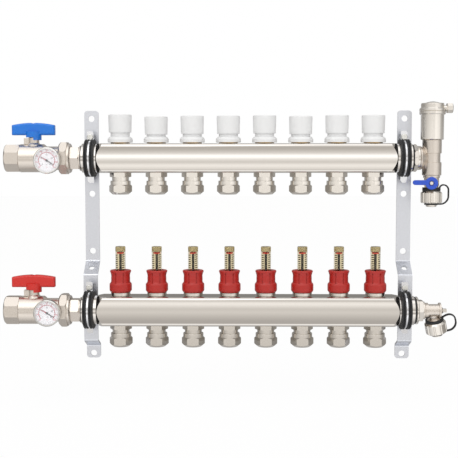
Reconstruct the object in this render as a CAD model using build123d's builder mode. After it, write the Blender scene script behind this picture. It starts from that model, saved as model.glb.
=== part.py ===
from build123d import *

import os
from math import asin, atan2, cos, degrees, radians, sin, sqrt

# Eight-loop heating manifold with flow meters, hand valves, ball valves and end fittings.
# Millimetres. +X runs along the bars to the right, +Z is up and the front faces -Y.
# The wall is the plane Y = 0, and the origin is the centre of the four wall screw holes.

# Overall layout
loop_count = 8
loop_pitch = 50.0
return_height = 112.0
bar_spacing = 209.0
return_bar_shift = -1.75
seat_gap = 0.1
running_gap = 0.06
body_gap = 0.3

# Wall brackets
bracket_spacing = 442.0
bracket_width = 20.0
bracket_plate = 2.5
bracket_step = 22.0
bracket_bend_r = 3.5
bracket_corner_r = 4.5
wall_hole_span = 335.0
wall_hole_d = 8.8
step_hole_d = 8.0
top_margin = 11.2
foot_margin = 6.8
plate_hole_heights = (61.5, -20.0)
step_top = -34.0
step_bottom = -51.3
foot_bend_top = -146.0
foot_bend_bottom = -155.5

# Pipe clamps
clamp_inset = 3.9
clamp_shift = -1.2
lining_outer_r = 26.0
lining_half_width = 6.8
lining_slot_half = 1.3
lining_foot = 1.9
lining_foot_height = 9.0
band_half_width = 5.0
band_thickness = 1.3
band_depth = 1.7
tab_back = 12.0
tab_half_width = 4.5
tab_shift = 2.0
tab_reach_up = 37.5
tab_reach_down = 34.5
tab_corners = (3.0, 4.4)
hook_inset = 3.5
hook_half_width = 3.5
screw_rise = 29.2
screw_d = 4.8
screw_head_d = 8.6
screw_head_t = 2.6

# Bars
bar_length = 455.0
bar_side = 40.4
bar_bulge = 0.7
bar_corner_r = 5.0
bar_end_d = 40.0
bar_wall = 1.8
bar_round_length = 20.5
bar_flare_length = 9.0
bar_flare_d = 54.0
end_thread_d = 33.2
end_thread_depth = 18.0
top_thread_d = 20.4
outlet_thread_d = 20.4

# Branch fittings, heights counted down from the bar's underside
nipple_hex_af = 26.0
nipple_hex_t = 6.1
nipple_neck_d = 23.4
waterway_d = 12.0
nipple_grip = 3.0
socket_top = 12.0
nut_top = 11.1
nut_collar_d = 27.9
nut_hex_top = 16.5
nut_hex_bottom = 25.8
nut_floor = 24.0
nut_bottom = 30.0
nut_hex_af = 27.5
nut_nose_d = 21.8
pipe_socket_d = 16.2

# Shut-off valve tops, heights counted up from the bar's top
insert_flange_d = 26.4
insert_flange_t = 1.5
insert_body_d = 21.6
insert_body_top = 13.0
insert_top = 16.0
insert_top_d = 16.0
insert_reach = 9.0
pin_d = 4.0
disc_d = 15.0
disc_t = 4.0
disc_drop = 34.0
cap_base_d = 34.5
cap_base_side = 4.0
cap_base_shoulder = 9.4
cap_neck_d = 26.4
cap_neck_top = 18.0
knob_d = 32.2
knob_foot_d = 31.0
knob_height = 24.6
knob_low = 12.4
knob_roof = 5.0
knob_rises = (2.9, 0.1, 0.9, 1.0, 1.5, 0.4, 1.6, 1.6)
knob_flutes = 10
flute_width = 6.0
flute_depth = 0.7
flute_stop = 4.0

# Flow meters, heights counted up from the bar's top
meter_ring_d = 26.6
meter_ring_t = 5.2
meter_neck_d = 22.0
meter_neck_top = 19.5
meter_reach = 12.0
meter_tube_d = 14.6
meter_bore_d = 10.8
glass_d = 13.8
glass_bore_d = 10.8
glass_foot = 12.0
glass_top = 67.9
glass_cap_t = 7.5
collar_top = 35.4
collar_rim_d = 29.0
collar_waist_d = 26.0
collar_skirt_d = 30.6
collar_foot_d = 27.6
collar_skirt_top = 16.5
collar_grooves = 8
collar_groove_width = 1.7
collar_groove_depth = 0.9
float_d = 9.7
float_t = 1.4
float_low = 58.4
rod_d = 3.6
rod_low = 14.0
flow_plate_d = 9.2
flow_plate_t = 2.0

# Ball valves, lengths counted outwards from the bar's left end
stem_out = 67.6
seam_out = 73.2
end_octagon_start = 86.4
inlet_out = 106.7
end_octagon_af = 37.4
barrel_d = 38.9
barrel_end = 53.5
neck_start = 49.5
neck_d = 32.6
valve_thread_start = 31.0
valve_thread_d = 37.6
valve_end = 20.4
valve_bore_d = 20.0
inlet_thread_d = 30.3
inlet_thread_depth = 18.0
ball_d = 26.0
ball_bore_d = 18.0
ball_cavity_d = 27.0
ball_cavity_half = 13.4
stem_d = 8.0
stem_square = 6.0
stem_tang = 3.0
housing_d = 14.8
housing_top = 28.6
housing_flare_d = 21.0
lug_reach = 13.1
lug_top = 27.6
lug_width = 8.0
handle_half = 29.8
handle_bottom = 31.8
handle_end_top = 45.7
handle_apex = 48.9
handle_thickness = 11.0
handle_hub_d = 21.3
handle_hub_top = 37.0
handle_lug_bottom = 25.1
handle_screw_d = 9.0
handle_screw_seat = 44.0

# Union between valve and bar
union_af = 44.0
union_start = 31.5
union_octagon_end = 20.0
union_end = 16.3
union_ring_d = 40.6
union_chamfer = 3.6
tail_flange_d = 36.4
tail_flange_t = 1.6
tail_neck_d = 28.0
tail_hex_af = 30.0
tail_hex_end = 4.0
tail_ring_d = 34.8
tail_bore_d = 24.0
tail_grip = 14.0
left_seal_t = 1.8

# Thermometers
dial_out = 44.1
dial_drops = (3.0, 0.0)
dial_boss_d = 16.0
dial_boss_front = 22.4
dial_case_d = 36.2
dial_case_back = 23.0
dial_case_front = 32.5
dial_d = 31.8
dial_depth = 3.2
dial_stem_d = 9.0
dial_glass_t = 1.2
needle_t = 0.6
needle_length = 11.0
needle_tail = 10.5
needle_hub_d = 3.2
needle_angle = 148.0

# Right end of the return bar, lengths from the bar's end
end_seal_d = 37.3
end_seal_t = 2.5
tee_bushing_cc = 38.2
tee_bushing_hex_end = 7.5
bushing_ring_d = 33.2
bushing_ring_end = 10.5
bushing_grip = 14.0
bushing_bore_d = 18.0
tee_axis = 28.6
tee_inlet_d = 32.8
tee_web_start = 4.0
tee_inlet_face = 11.0
tee_inlet_straight = 13.0
tee_socket_d = 26.4
tee_waist_d = 23.2
tee_waist_top = 6.3
tee_waist_bottom = -5.8
tee_top = 25.2
tee_bottom = -24.0
tee_thread_d = 20.0
tee_bore_d = 18.0
tee_grip = 9.0

# Air vent, heights from the return bar's axis
vent_d = 31.5
vent_top = 59.7
vent_wall = 2.0
vent_lid_d = 35.5
vent_lid_top = 68.7
vent_crown_d = 31.3
vent_crown_top = 75.2
vent_dome_top = 77.5
vent_port_height = 68.4
vent_port_d = 7.6
vent_port_reach = 24.4
vent_cap_start = 19.1
vent_cap_end = 27.6
vent_cap_af = 13.2

# Drain valve under the tee, heights from the return bar's axis
drain_turn = 10.0
drain_collar_d = 23.0
drain_collar_bottom = -27.5
drain_d = 20.6
drain_body_bottom = -38.0
drain_neck_d = 19.0
drain_thread_d = 20.0
drain_end = -58.5
drain_bore_d = 10.0
drain_ball_d = 15.0
drain_cavity_d = 15.6
lever_height = -34.4
lever_boss_d = 11.0
lever_boss_front = 14.9
lever_face = 19.4
lever_disc_d = 17.2
lever_arm = 25.5
lever_arm_width = 6.7
lever_arm_rise = 0.8
lever_recess_d = 7.4
lever_screw_d = 4.8
lever_stem_d = 5.0

# Hose caps
cap_d = 29.4
cap_length = 16.5
cap_mouth_d = 24.0
cap_shoulder = 2.6
cap_lobes = 10
cap_groove_r = 1.5
cap_groove_depth = 1.0
cap_floor = 3.0
button_d = 14.8
button_waist_d = 12.4
button_length = 5.4
button_head = 2.2
cap_seat = -45.6

# Fill valve on the supply bar, lengths from the bar's end
fill_flange_d = 38.2
fill_flange_end = 5.7
fill_hex_af = 27.5
fill_hex_end = 12.4
fill_ring_d = 24.4
fill_ring_end = 15.0
fill_body_start = 19.8
fill_ring_small_d = 21.0
fill_body_d = 17.4
fill_body_end = 35.0
fill_cover_d = 21.5
fill_cover_end = 37.4
fill_nose_end = 40.5
fill_nose_d = 7.0
spindle_d = 6.0
spindle_end = 45.6
spindle_square = 4.6
spindle_root = 28.5
fill_bore_d = 9.0
outlet_place = 26.8
outlet_lean = 13.0
outlet_swing = 12.0
outlet_neck_d = 11.6
outlet_neck_end = 10.2
outlet_shoulder_start = 12.4
outlet_cap_seat = 16.0

# Rubber straps
strap_ring_d = 25.0
strap_ring_t = 4.6
strap_low_ring_t = 3.4
strap_eye_d = 19.0
strap_eye_t = 2.0
strap_width = 3.6
strap_t = 2.0
upper_loop = (16.5, 5.9, 23.6, 11.0)
lower_loop = (19.5, 3.2, 28.4, 11.0)

# Values worked out from the sizes above
loop_places = [loop_pitch * (i - (loop_count - 1) / 2) for i in range(loop_count)]
return_depth = -(bracket_plate + lining_outer_r + lining_foot)
supply_depth = return_depth - bracket_step
supply_height = return_height - bar_spacing
return_centre = Vector(return_bar_shift, return_depth, return_height)
supply_centre = Vector(0, supply_depth, supply_height)
left_ends = [c - Vector(bar_length / 2, 0, 0) for c in (return_centre, supply_centre)]
right_ends = [c + Vector(bar_length / 2, 0, 0) for c in (return_centre, supply_centre)]
top_face = bar_side / 2
clamp_x = bracket_spacing / 2 - clamp_inset
band_outer_r = lining_outer_r - band_depth
band_inner_r = band_outer_r - band_thickness
left_clamps = [(clamp_shift - clamp_x, c.Y, c.Z) for c in (return_centre, supply_centre)]
right_clamps = [(clamp_shift + clamp_x, c.Y, c.Z) for c in (return_centre, supply_centre)]
return_tops = [return_centre + Vector(x, 0, top_face) for x in loop_places]
supply_tops = [supply_centre + Vector(x, 0, top_face) for x in loop_places]
outlet_places = [
    c + Vector(x, 0, -top_face) for c in (return_centre, supply_centre) for x in loop_places
]

os.makedirs("parts", exist_ok=True)


def turned(outline, axis=Axis.Z):
    """Solid of revolution from points in the XZ plane, about X or Z."""
    with BuildPart() as piece:
        with BuildSketch(Plane.XZ):
            with BuildLine():
                Polyline(*outline, close=True)
            make_face()
        revolve(axis=axis)
    return piece.part


def bar_prism(side, corner_r, bulge, length):
    """Rounded square bar along X with slightly crowned front and back faces."""
    half = side / 2
    with BuildPart() as piece:
        with BuildSketch(Plane.YZ.offset(-length / 2)):
            with BuildLine():
                Line((-half, -half), (half, -half))
                ThreePointArc((half, -half), (half + bulge, 0), (half, half))
                Line((half, half), (-half, half))
                ThreePointArc((-half, half), (-half - bulge, 0), (-half, -half))
            face = make_face()
            fillet(face.vertices(), corner_r)
        extrude(amount=length)
    return piece.part


def bar_envelope(shrink, length):
    """Round ends that flare out past the corners of the square middle."""
    end = length / 2
    flare_start = bar_length / 2 - bar_round_length
    flare_end = flare_start - bar_flare_length
    end_r = bar_end_d / 2 - shrink
    flare_r = bar_flare_d / 2 - shrink
    return turned(
        [
            (-end, 0), (-end, end_r), (-flare_start, end_r), (-flare_end, flare_r),
            (flare_end, flare_r), (flare_start, end_r), (end, end_r), (end, 0),
        ],
        Axis.X,
    )


# Bars: tube with a rounded square middle, threaded ends and eight pairs of holes
cavity_length = bar_length - 2 * end_thread_depth
with BuildPart() as bar_cavity:
    add(bar_prism(bar_side - 2 * bar_wall, bar_corner_r - bar_wall, bar_bulge, cavity_length))
    add(bar_envelope(bar_wall, cavity_length), mode=Mode.INTERSECT)
with BuildPart() as bar_blank:
    add(bar_prism(bar_side, bar_corner_r, bar_bulge, bar_length))
    add(bar_envelope(0, bar_length), mode=Mode.INTERSECT)
    add(bar_cavity.part, mode=Mode.SUBTRACT)
    for side in (-1, 1):
        with BuildSketch(Plane.YZ.offset(side * bar_length / 2)):
            Circle(end_thread_d / 2)
        extrude(amount=-side * end_thread_depth, mode=Mode.SUBTRACT)
    with BuildSketch(Plane.XY):
        with Locations(*[(x, 0) for x in loop_places]):
            Circle(top_thread_d / 2)
    extrude(amount=bar_side, mode=Mode.SUBTRACT)
    with BuildSketch(Plane.XY):
        with Locations(*[(x, 0) for x in loop_places]):
            Circle(outlet_thread_d / 2)
    extrude(amount=-bar_side, mode=Mode.SUBTRACT)

with BuildPart() as return_bar:
    with Locations(return_centre):
        add(bar_blank.part)
return_bar.part.label = "return_bar"
export_step(return_bar.part, "parts/return_bar.step")

with BuildPart() as supply_bar:
    with Locations(supply_centre):
        add(bar_blank.part)
supply_bar.part.label = "supply_bar"
export_step(supply_bar.part, "parts/supply_bar.step")


# Wall brackets: one bent strip each, with wall holes, plate holes and a hole in the step
def make_bracket(name, x):
    """Strip bent forward to carry the supply bar in front of the return bar's pipes."""
    top = wall_hole_span / 2 + top_margin
    foot = -wall_hole_span / 2 - foot_margin
    face = -bracket_plate
    front = face - bracket_step
    with BuildPart() as bracket:
        with BuildSketch(Plane.YZ.offset(x)):
            with BuildLine():
                FilletPolyline(
                    (face, top), (face, step_top), (front, step_bottom), (front, foot_bend_top),
                    (face, foot_bend_bottom), (face, foot), radius=bracket_bend_r,
                )
                offset(amount=bracket_plate, side=Side.LEFT)
            make_face()
        extrude(amount=bracket_width / 2, both=True)
        ends = bracket.edges().filter_by(Axis.Y)
        fillet(ends.group_by(Axis.Z)[-1] + ends.group_by(Axis.Z)[0], bracket_corner_r)
        wall_holes = [wall_hole_span / 2, -wall_hole_span / 2, *plate_hole_heights]
        with BuildSketch(Plane.XZ):
            with Locations(*[(x, z) for z in wall_holes]):
                Circle(wall_hole_d / 2)
        extrude(amount=bracket_plate * 2, both=True, mode=Mode.SUBTRACT)
        screw_x = clamp_shift + (clamp_x + tab_shift) * (1 if x > 0 else -1)
        with BuildSketch(Plane.XZ):
            with Locations(*[(screw_x, h + screw_rise) for h in (return_height, supply_height)]):
                Circle(screw_d / 2 + seat_gap)
        extrude(amount=bracket_step + 2 * bracket_plate, both=True, mode=Mode.SUBTRACT)
        step_plane = Plane(
            origin=(x, (face + front) / 2, (step_top + step_bottom) / 2),
            x_dir=(1, 0, 0),
            z_dir=(0, step_bottom - step_top, face - front),
        )
        with BuildSketch(step_plane):
            Circle(step_hole_d / 2)
        extrude(amount=2 * bracket_plate, both=True, mode=Mode.SUBTRACT)
    bracket.part.label = name
    export_step(bracket.part, f"parts/{name}.step")


make_bracket("left_bracket", -bracket_spacing / 2)
make_bracket("right_bracket", bracket_spacing / 2)

# Clamp linings: a rubber ring with a slot that holds the steel band
lining_inner_r = bar_end_d / 2 + running_gap
channel_low = band_inner_r - seat_gap
channel_high = band_outer_r + seat_gap
lip_round = 0.8
rib_place = (lining_half_width + lining_slot_half) / 2
rib_depth = 0.8
band_half = band_half_width + seat_gap
lining_side = [
    (lining_half_width, lining_inner_r),
    (lining_half_width, lining_outer_r - lip_round),
    (lining_half_width - lip_round, lining_outer_r),
    (rib_place + rib_depth, lining_outer_r),
    (rib_place, lining_outer_r - rib_depth),
    (rib_place - rib_depth, lining_outer_r),
    (lining_slot_half + lip_round / 2, lining_outer_r),
    (lining_slot_half, lining_outer_r - lip_round),
    (lining_slot_half, channel_high),
    (band_half, channel_high),
    (band_half, channel_low),
]
lining_outline = lining_side + [(-x, r) for x, r in reversed(lining_side)]
band_reach = lining_outer_r + lining_foot
tabs = ((1, tab_reach_up, tab_corners[0]), (-1, tab_reach_down, tab_corners[1]))


def make_lining(shift):
    """Rubber ring with a foot on the bracket and two cuts that let the tabs out."""
    with BuildPart() as lining:
        add(turned(lining_outline, Axis.X))
        with Locations((0, (band_outer_r + band_reach) / 2 + seat_gap, 0)):
            Box(
                2 * (lining_half_width - lip_round), band_reach - band_outer_r - 2 * seat_gap,
                lining_foot_height,
            )
        for way, reach, corner in tabs:
            with Locations((shift, tab_back + band_thickness / 2, way * (reach + channel_low) / 2)):
                Box(
                    2 * (tab_half_width + 2 * seat_gap), band_thickness + 4 * seat_gap,
                    reach - channel_low + 10, mode=Mode.SUBTRACT,
                )
    return lining.part


with BuildPart() as clamp_linings:
    with Locations(*left_clamps):
        add(make_lining(-tab_shift))
    with Locations(*right_clamps):
        add(make_lining(tab_shift))
clamp_linings.part.label = "clamp_linings"
export_step(clamp_linings.part, "parts/clamp_linings.step")


# Clamp bands: a steel strap round the front with a tab above and below, hooked to the bracket
def make_band(shift):
    """Half ring with its tabs; shift moves the tabs sideways to the bracket's middle."""
    tab_start = sqrt(band_inner_r**2 - tab_back**2)
    with BuildPart() as band:
        add(
            turned(
                [
                    (-band_half_width, band_inner_r), (band_half_width, band_inner_r),
                    (band_half_width, band_outer_r), (-band_half_width, band_outer_r),
                ],
                Axis.X,
            )
        )
        with Locations((0, tab_back + band_thickness, 0)):
            Box(
                4 * band_half_width, 2 * lining_outer_r, 4 * lining_outer_r,
                align=(Align.CENTER, Align.MIN, Align.CENTER), mode=Mode.SUBTRACT,
            )
        for way, reach, corner in tabs:
            with BuildSketch(Plane.XZ.offset(-tab_back)):
                with Locations((shift, way * (reach + tab_start) / 2)):
                    tab = Rectangle(2 * tab_half_width, reach - tab_start)
                far_corners = tab.vertices().sort_by(Axis.Z)
                fillet(far_corners[-2:] if way > 0 else far_corners[:2], corner)
            extrude(amount=-band_thickness)
            with Locations((shift, (tab_back + band_reach) / 2, way * (reach - hook_inset))):
                Box(2 * hook_half_width, band_reach - tab_back, band_thickness)
        with BuildSketch(Plane.XZ):
            with Locations((shift, screw_rise)):
                Circle(screw_d / 2 + seat_gap)
        extrude(amount=-2 * tab_back, mode=Mode.SUBTRACT)
    return band.part


with BuildPart() as clamp_bands:
    with Locations(*left_clamps):
        add(make_band(-tab_shift))
    with Locations(*right_clamps):
        add(make_band(tab_shift))
clamp_bands.part.label = "clamp_bands"
export_step(clamp_bands.part, "parts/clamp_bands.step")

# Clamp screws: pan head with a cross recess, through the tab into the bracket
recess_width = 1.1
recess_length = 4.6
recess_depth = 1.3
with BuildPart() as clamp_screw:
    with BuildSketch(Plane.XZ.offset(-tab_back)):
        with Locations((0, screw_rise)):
            Circle(screw_head_d / 2)
    extrude(amount=screw_head_t)
    fillet(clamp_screw.edges().group_by(Axis.Y)[0], screw_head_t / 3)
    with BuildSketch(Plane.XZ.offset(-tab_back)):
        with Locations((0, screw_rise)):
            Circle(screw_d / 2)
    extrude(amount=-(band_reach + bracket_plate - tab_back))
    with BuildSketch(Plane.XZ.offset(screw_head_t - tab_back)):
        with Locations((0, screw_rise)):
            Rectangle(recess_width, recess_length)
            Rectangle(recess_length, recess_width)
    extrude(amount=-recess_depth, mode=Mode.SUBTRACT)
with BuildPart() as clamp_screws:
    with Locations(*left_clamps):
        with Locations((-tab_shift, 0, 0)):
            add(clamp_screw.part)
    with Locations(*right_clamps):
        with Locations((tab_shift, 0, 0)):
            add(clamp_screw.part)
clamp_screws.part.label = "clamp_screws"
export_step(clamp_screws.part, "parts/clamp_screws.step")

# Branch nipples: hexagon under the bar, thread above it, pipe socket below
with BuildPart() as nipple:
    add(
        turned(
            [
                (waterway_d / 2, nipple_grip), (outlet_thread_d / 2 - seat_gap, nipple_grip),
                (outlet_thread_d / 2 - seat_gap, -nipple_hex_t / 2), (nipple_neck_d / 2, -nipple_hex_t / 2),
                (nipple_neck_d / 2, -nut_floor), (pipe_socket_d / 2, -nut_floor),
                (pipe_socket_d / 2, -socket_top), (waterway_d / 2, -socket_top),
            ]
        )
    )
    with BuildSketch(Plane.XY):
        RegularPolygon(nipple_hex_af / 2, 6, major_radius=False)
        Circle(waterway_d / 2, mode=Mode.SUBTRACT)
    extrude(amount=-nipple_hex_t)
    nipple_bevel = (2 / sqrt(3) - 1) * nipple_hex_af / 2
    add(
        turned(
            [
                (0, nipple_grip), (nipple_hex_af, nipple_grip), (nipple_hex_af, -nipple_hex_t + nipple_bevel * 2),
                (nipple_hex_af / 2, -nipple_hex_t), (nipple_hex_af / 2, -nut_floor), (0, -nut_floor),
            ]
        ),
        mode=Mode.INTERSECT,
    )
with BuildPart() as branch_nipples:
    with Locations(*outlet_places):
        add(nipple.part)
branch_nipples.part.label = "branch_nipples"
export_step(branch_nipples.part, "parts/branch_nipples.step")

# Branch nuts: collar, hexagon and tapered nose round the pipe
nut_bore_r = nipple_neck_d / 2 + seat_gap
nut_corner_r = nut_hex_af / sqrt(3)
with BuildPart() as nut:
    with BuildSketch(Plane.XY.offset(-nut_hex_top)):
        RegularPolygon(nut_hex_af / 2, 6, major_radius=False)
    extrude(amount=-(nut_bottom - nut_hex_top))
    add(
        turned(
            [
                (0, -nut_hex_top), (nut_collar_d / 2, -nut_hex_top), (nut_corner_r, -nut_hex_top - 1.6),
                (nut_corner_r, -nut_hex_bottom), (nut_nose_d / 2, -nut_bottom), (0, -nut_bottom),
            ]
        ),
        mode=Mode.INTERSECT,
    )
    with BuildSketch(Plane.XY.offset(-nut_hex_top)):
        Circle(nut_collar_d / 2)
    extrude(amount=nut_hex_top - nut_top)
    fillet(nut.edges().group_by(Axis.Z)[-1], 0.6)
    add(
        turned([(0, 0), (nut_bore_r, 0), (nut_bore_r, -nut_floor), (0, -nut_floor)]),
        mode=Mode.SUBTRACT,
    )
    with BuildSketch(Plane.XY.offset(-nut_bottom)):
        Circle(pipe_socket_d / 2)
    extrude(amount=nut_bottom, mode=Mode.SUBTRACT)
with BuildPart() as branch_nuts:
    with Locations(*outlet_places):
        add(nut.part)
branch_nuts.part.label = "branch_nuts"
export_step(branch_nuts.part, "parts/branch_nuts.step")

# Shut-off inserts with their pins and valve discs
pin_top = knob_low + knob_height - knob_roof - seat_gap
pin_hole_r = pin_d / 2 + running_gap
insert = turned(
    [
        (pin_hole_r, -insert_reach), (insert_top_d / 2, -insert_reach),
        (insert_top_d / 2, -bar_wall - seat_gap), (top_thread_d / 2 - seat_gap, -bar_wall - seat_gap),
        (top_thread_d / 2 - seat_gap, 0), (insert_flange_d / 2, 0), (insert_flange_d / 2, insert_flange_t),
        (insert_body_d / 2, insert_flange_t), (insert_body_d / 2, insert_body_top),
        (insert_top_d / 2, insert_body_top), (insert_top_d / 2, insert_top), (pin_hole_r, insert_top),
    ]
)
valve_pin = turned(
    [
        (0, -disc_drop), (disc_d / 2, -disc_drop), (disc_d / 2, disc_t - disc_drop),
        (pin_d / 2, disc_t - disc_drop), (pin_d / 2, pin_top), (0, pin_top),
    ]
)
with BuildPart() as valve_inserts:
    with Locations(*return_tops):
        add(insert)
    with Locations(*[p + Vector(0, 0, rise) for p, rise in zip(return_tops, knob_rises)]):
        add(valve_pin)
valve_inserts.part.label = "valve_inserts"
export_step(valve_inserts.part, "parts/valve_inserts.step")

# Fixed collars under the hand knobs
with BuildPart() as cap_base:
    with BuildSketch(Plane.XZ):
        with BuildLine():
            inner_r = insert_body_d / 2 + seat_gap
            side_top = insert_flange_t + cap_base_side
            Polyline(
                (cap_neck_d / 2, cap_base_shoulder), (cap_neck_d / 2, cap_neck_top), (inner_r, cap_neck_top),
                (inner_r, insert_flange_t), (cap_base_d / 2, insert_flange_t), (cap_base_d / 2, side_top),
            )
            RadiusArc(
                (cap_base_d / 2, side_top), (cap_neck_d / 2, cap_base_shoulder),
                -(cap_base_shoulder - side_top) * 1.25,
            )
        make_face()
    revolve(axis=Axis.Z)
with BuildPart() as cap_bases:
    with Locations(*return_tops):
        add(cap_base.part)
cap_bases.part.label = "cap_bases"
export_step(cap_bases.part, "parts/cap_bases.step")

# Hand knobs: fluted cups that turn on the collars' necks
flute_r = (flute_width**2 / 4 + flute_depth**2) / (2 * flute_depth)
flute_centre = knob_foot_d / 2 - flute_depth + flute_r
knob_bore_r = cap_neck_d / 2 + running_gap
with BuildPart() as knob:
    add(
        turned(
            [
                (0, 0), (knob_foot_d / 2, 0), (knob_d / 2, knob_height - flute_stop),
                (knob_d / 2, knob_height), (0, knob_height),
            ]
        )
    )
    fillet(knob.edges().group_by(Axis.Z)[-1], 1.3)
    with PolarLocations(flute_centre, knob_flutes):
        with BuildSketch(Plane.XY):
            Circle(flute_r)
    extrude(amount=knob_height - flute_stop, mode=Mode.SUBTRACT)
    with BuildSketch(Plane.XY):
        Circle(knob_bore_r)
    extrude(amount=knob_height - knob_roof, mode=Mode.SUBTRACT)

for i, place in enumerate(return_tops):
    with BuildPart() as turned_knob:
        with Locations(place + Vector(0, 0, knob_low + knob_rises[i])):
            add(knob.part)
    turned_knob.part.label = f"knob_{i + 1}"
    export_step(turned_knob.part, f"parts/knob_{i + 1}.step")

# Flow meter bodies: ring on the bar, neck for the collar, tube inside the bar
meter_thread_r = top_thread_d / 2 - seat_gap
glass_seat_r = glass_d / 2 + seat_gap
meter_body = turned(
    [
        (meter_bore_d / 2, -meter_reach), (meter_tube_d / 2, -meter_reach),
        (meter_tube_d / 2, -bar_wall - seat_gap), (meter_thread_r, -bar_wall - seat_gap),
        (meter_thread_r, 0), (meter_ring_d / 2 - 0.8, 0), (meter_ring_d / 2, 0.8),
        (meter_ring_d / 2, meter_ring_t - 0.6), (meter_ring_d / 2 - 0.6, meter_ring_t),
        (meter_neck_d / 2, meter_ring_t), (meter_neck_d / 2, meter_neck_top),
        (glass_seat_r, meter_neck_top), (glass_seat_r, glass_foot), (meter_bore_d / 2, glass_foot),
    ]
)
with BuildPart() as meter_bodies:
    with Locations(*supply_tops):
        add(meter_body)
meter_bodies.part.label = "meter_bodies"
export_step(meter_bodies.part, "parts/meter_bodies.step")

# Sight glasses: clear tubes closed by a thick top
glass_roof = glass_top - glass_cap_t
with BuildPart() as sight_glass:
    add(
        turned(
            [
                (glass_bore_d / 2, glass_foot), (glass_d / 2, glass_foot), (glass_d / 2, glass_top),
                (0, glass_top), (0, glass_roof), (glass_bore_d / 2, glass_roof),
            ]
        )
    )
    fillet(sight_glass.edges().group_by(Axis.Z)[-1], 0.8)
with BuildPart() as sight_glasses:
    with Locations(*supply_tops):
        add(sight_glass.part)
sight_glasses.part.label = "sight_glasses"
export_step(sight_glasses.part, "parts/sight_glasses.step")

# Setting collars: flared rim, waist with eight grooves and a bulged skirt
collar_low = meter_ring_t + body_gap
collar_bore_r = meter_neck_d / 2 + running_gap
collar_eye_r = glass_d / 2 + body_gap
with BuildPart() as collar:
    with BuildSketch(Plane.XZ):
        with BuildLine():
            Line((collar_foot_d / 2, collar_low), (collar_skirt_d / 2, collar_low + 2.2))
            Line((collar_skirt_d / 2, collar_low + 2.2), (collar_skirt_d / 2, collar_skirt_top - 1.2))
            Spline(
                (collar_skirt_d / 2, collar_skirt_top - 1.2), (collar_waist_d / 2 + 0.5, collar_skirt_top + 2),
                (collar_waist_d / 2, collar_skirt_top + 7), (collar_rim_d / 2, collar_top - 1.8),
                tangents=((0, 1), (0.45, 1)),
            )
            Polyline(
                (collar_rim_d / 2, collar_top - 1.8), (collar_rim_d / 2, collar_top - 0.9),
                (collar_rim_d / 2 - 0.9, collar_top), (collar_eye_r + 2.6, collar_top),
                (collar_eye_r, collar_top - 3.2), (collar_eye_r, meter_neck_top + body_gap),
                (collar_bore_r, meter_neck_top + body_gap), (collar_bore_r, collar_low),
                (collar_foot_d / 2, collar_low),
            )
        make_face()
    revolve(axis=Axis.Z)
    groove_low = collar_skirt_top + 1.5
    groove_high = collar_top - 3.0
    for k in range(collar_grooves):
        angle = (k + 0.5) * 360 / collar_grooves
        groove_plane = Plane(
            origin=Vector(collar_waist_d / 2 - collar_groove_depth, 0, (groove_low + groove_high) / 2).rotate(
                Axis.Z, angle
            ),
            x_dir=(-sin(radians(angle)), cos(radians(angle)), 0),
            z_dir=(cos(radians(angle)), sin(radians(angle)), 0),
        )
        with BuildSketch(groove_plane):
            SlotOverall(groove_high - groove_low, collar_groove_width, rotation=90)
        extrude(amount=3, mode=Mode.SUBTRACT)

# Indicator rods: red disc near the top, flow plate inside the bar
indicator = turned(
    [
        (0, -rod_low - flow_plate_t), (flow_plate_d / 2, -rod_low - flow_plate_t),
        (flow_plate_d / 2, -rod_low), (rod_d / 2, -rod_low), (rod_d / 2, float_low), (float_d / 2, float_low),
        (float_d / 2, float_low + float_t / 3), (rod_d / 2 + 0.6, float_low + float_t),
        (0, glass_roof - body_gap),
    ]
)

for i, place in enumerate(supply_tops):
    with BuildPart() as set_collar:
        with Locations(place):
            add(collar.part)
    set_collar.part.label = f"collar_{i + 1}"
    export_step(set_collar.part, f"parts/collar_{i + 1}.step")
    with BuildPart() as set_indicator:
        with Locations(place):
            add(indicator)
    set_indicator.part.label = f"indicator_{i + 1}"
    export_step(set_indicator.part, f"parts/indicator_{i + 1}.step")


# Ball valve housings, about the bar's left end: -X points outwards
def octagon_bar(start, end, across_flats, chamfer_start=0.0, chamfer_end=0.0):
    """Octagonal bar along X with flats to the front and turned chamfers at its ends."""
    corner_r = across_flats / 2 / cos(radians(22.5))
    with BuildPart() as piece:
        with BuildSketch(Plane.YZ.offset(start)):
            RegularPolygon(across_flats / 2, 8, major_radius=False, rotation=22.5)
        extrude(amount=end - start)
        add(
            turned(
                [
                    (start, 0), (start, corner_r - chamfer_start), (start + chamfer_start, corner_r),
                    (end - chamfer_end, corner_r), (end, corner_r - chamfer_end), (end, 0),
                ],
                Axis.X,
            ),
            mode=Mode.INTERSECT,
        )
    return piece.part


def hex_bar(start, end, across_flats, turn=0.0, bevel=0.0):
    """Hexagonal bar along X with a turned bevel at both ends."""
    corner_r = across_flats / sqrt(3)
    with BuildPart() as piece:
        with BuildSketch(Plane.YZ.offset(start)):
            RegularPolygon(across_flats / 2, 6, major_radius=False, rotation=turn)
        extrude(amount=end - start)
        add(
            turned(
                [
                    (start, 0), (start, corner_r - bevel), (start + bevel, corner_r + 0.01),
                    (end - bevel, corner_r + 0.01), (end, corner_r - bevel), (end, 0),
                ],
                Axis.X,
            ),
            mode=Mode.INTERSECT,
        )
    return piece.part


cavity_left = -(stem_out + ball_cavity_half)
cavity_right = -(stem_out - ball_cavity_half)


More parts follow.
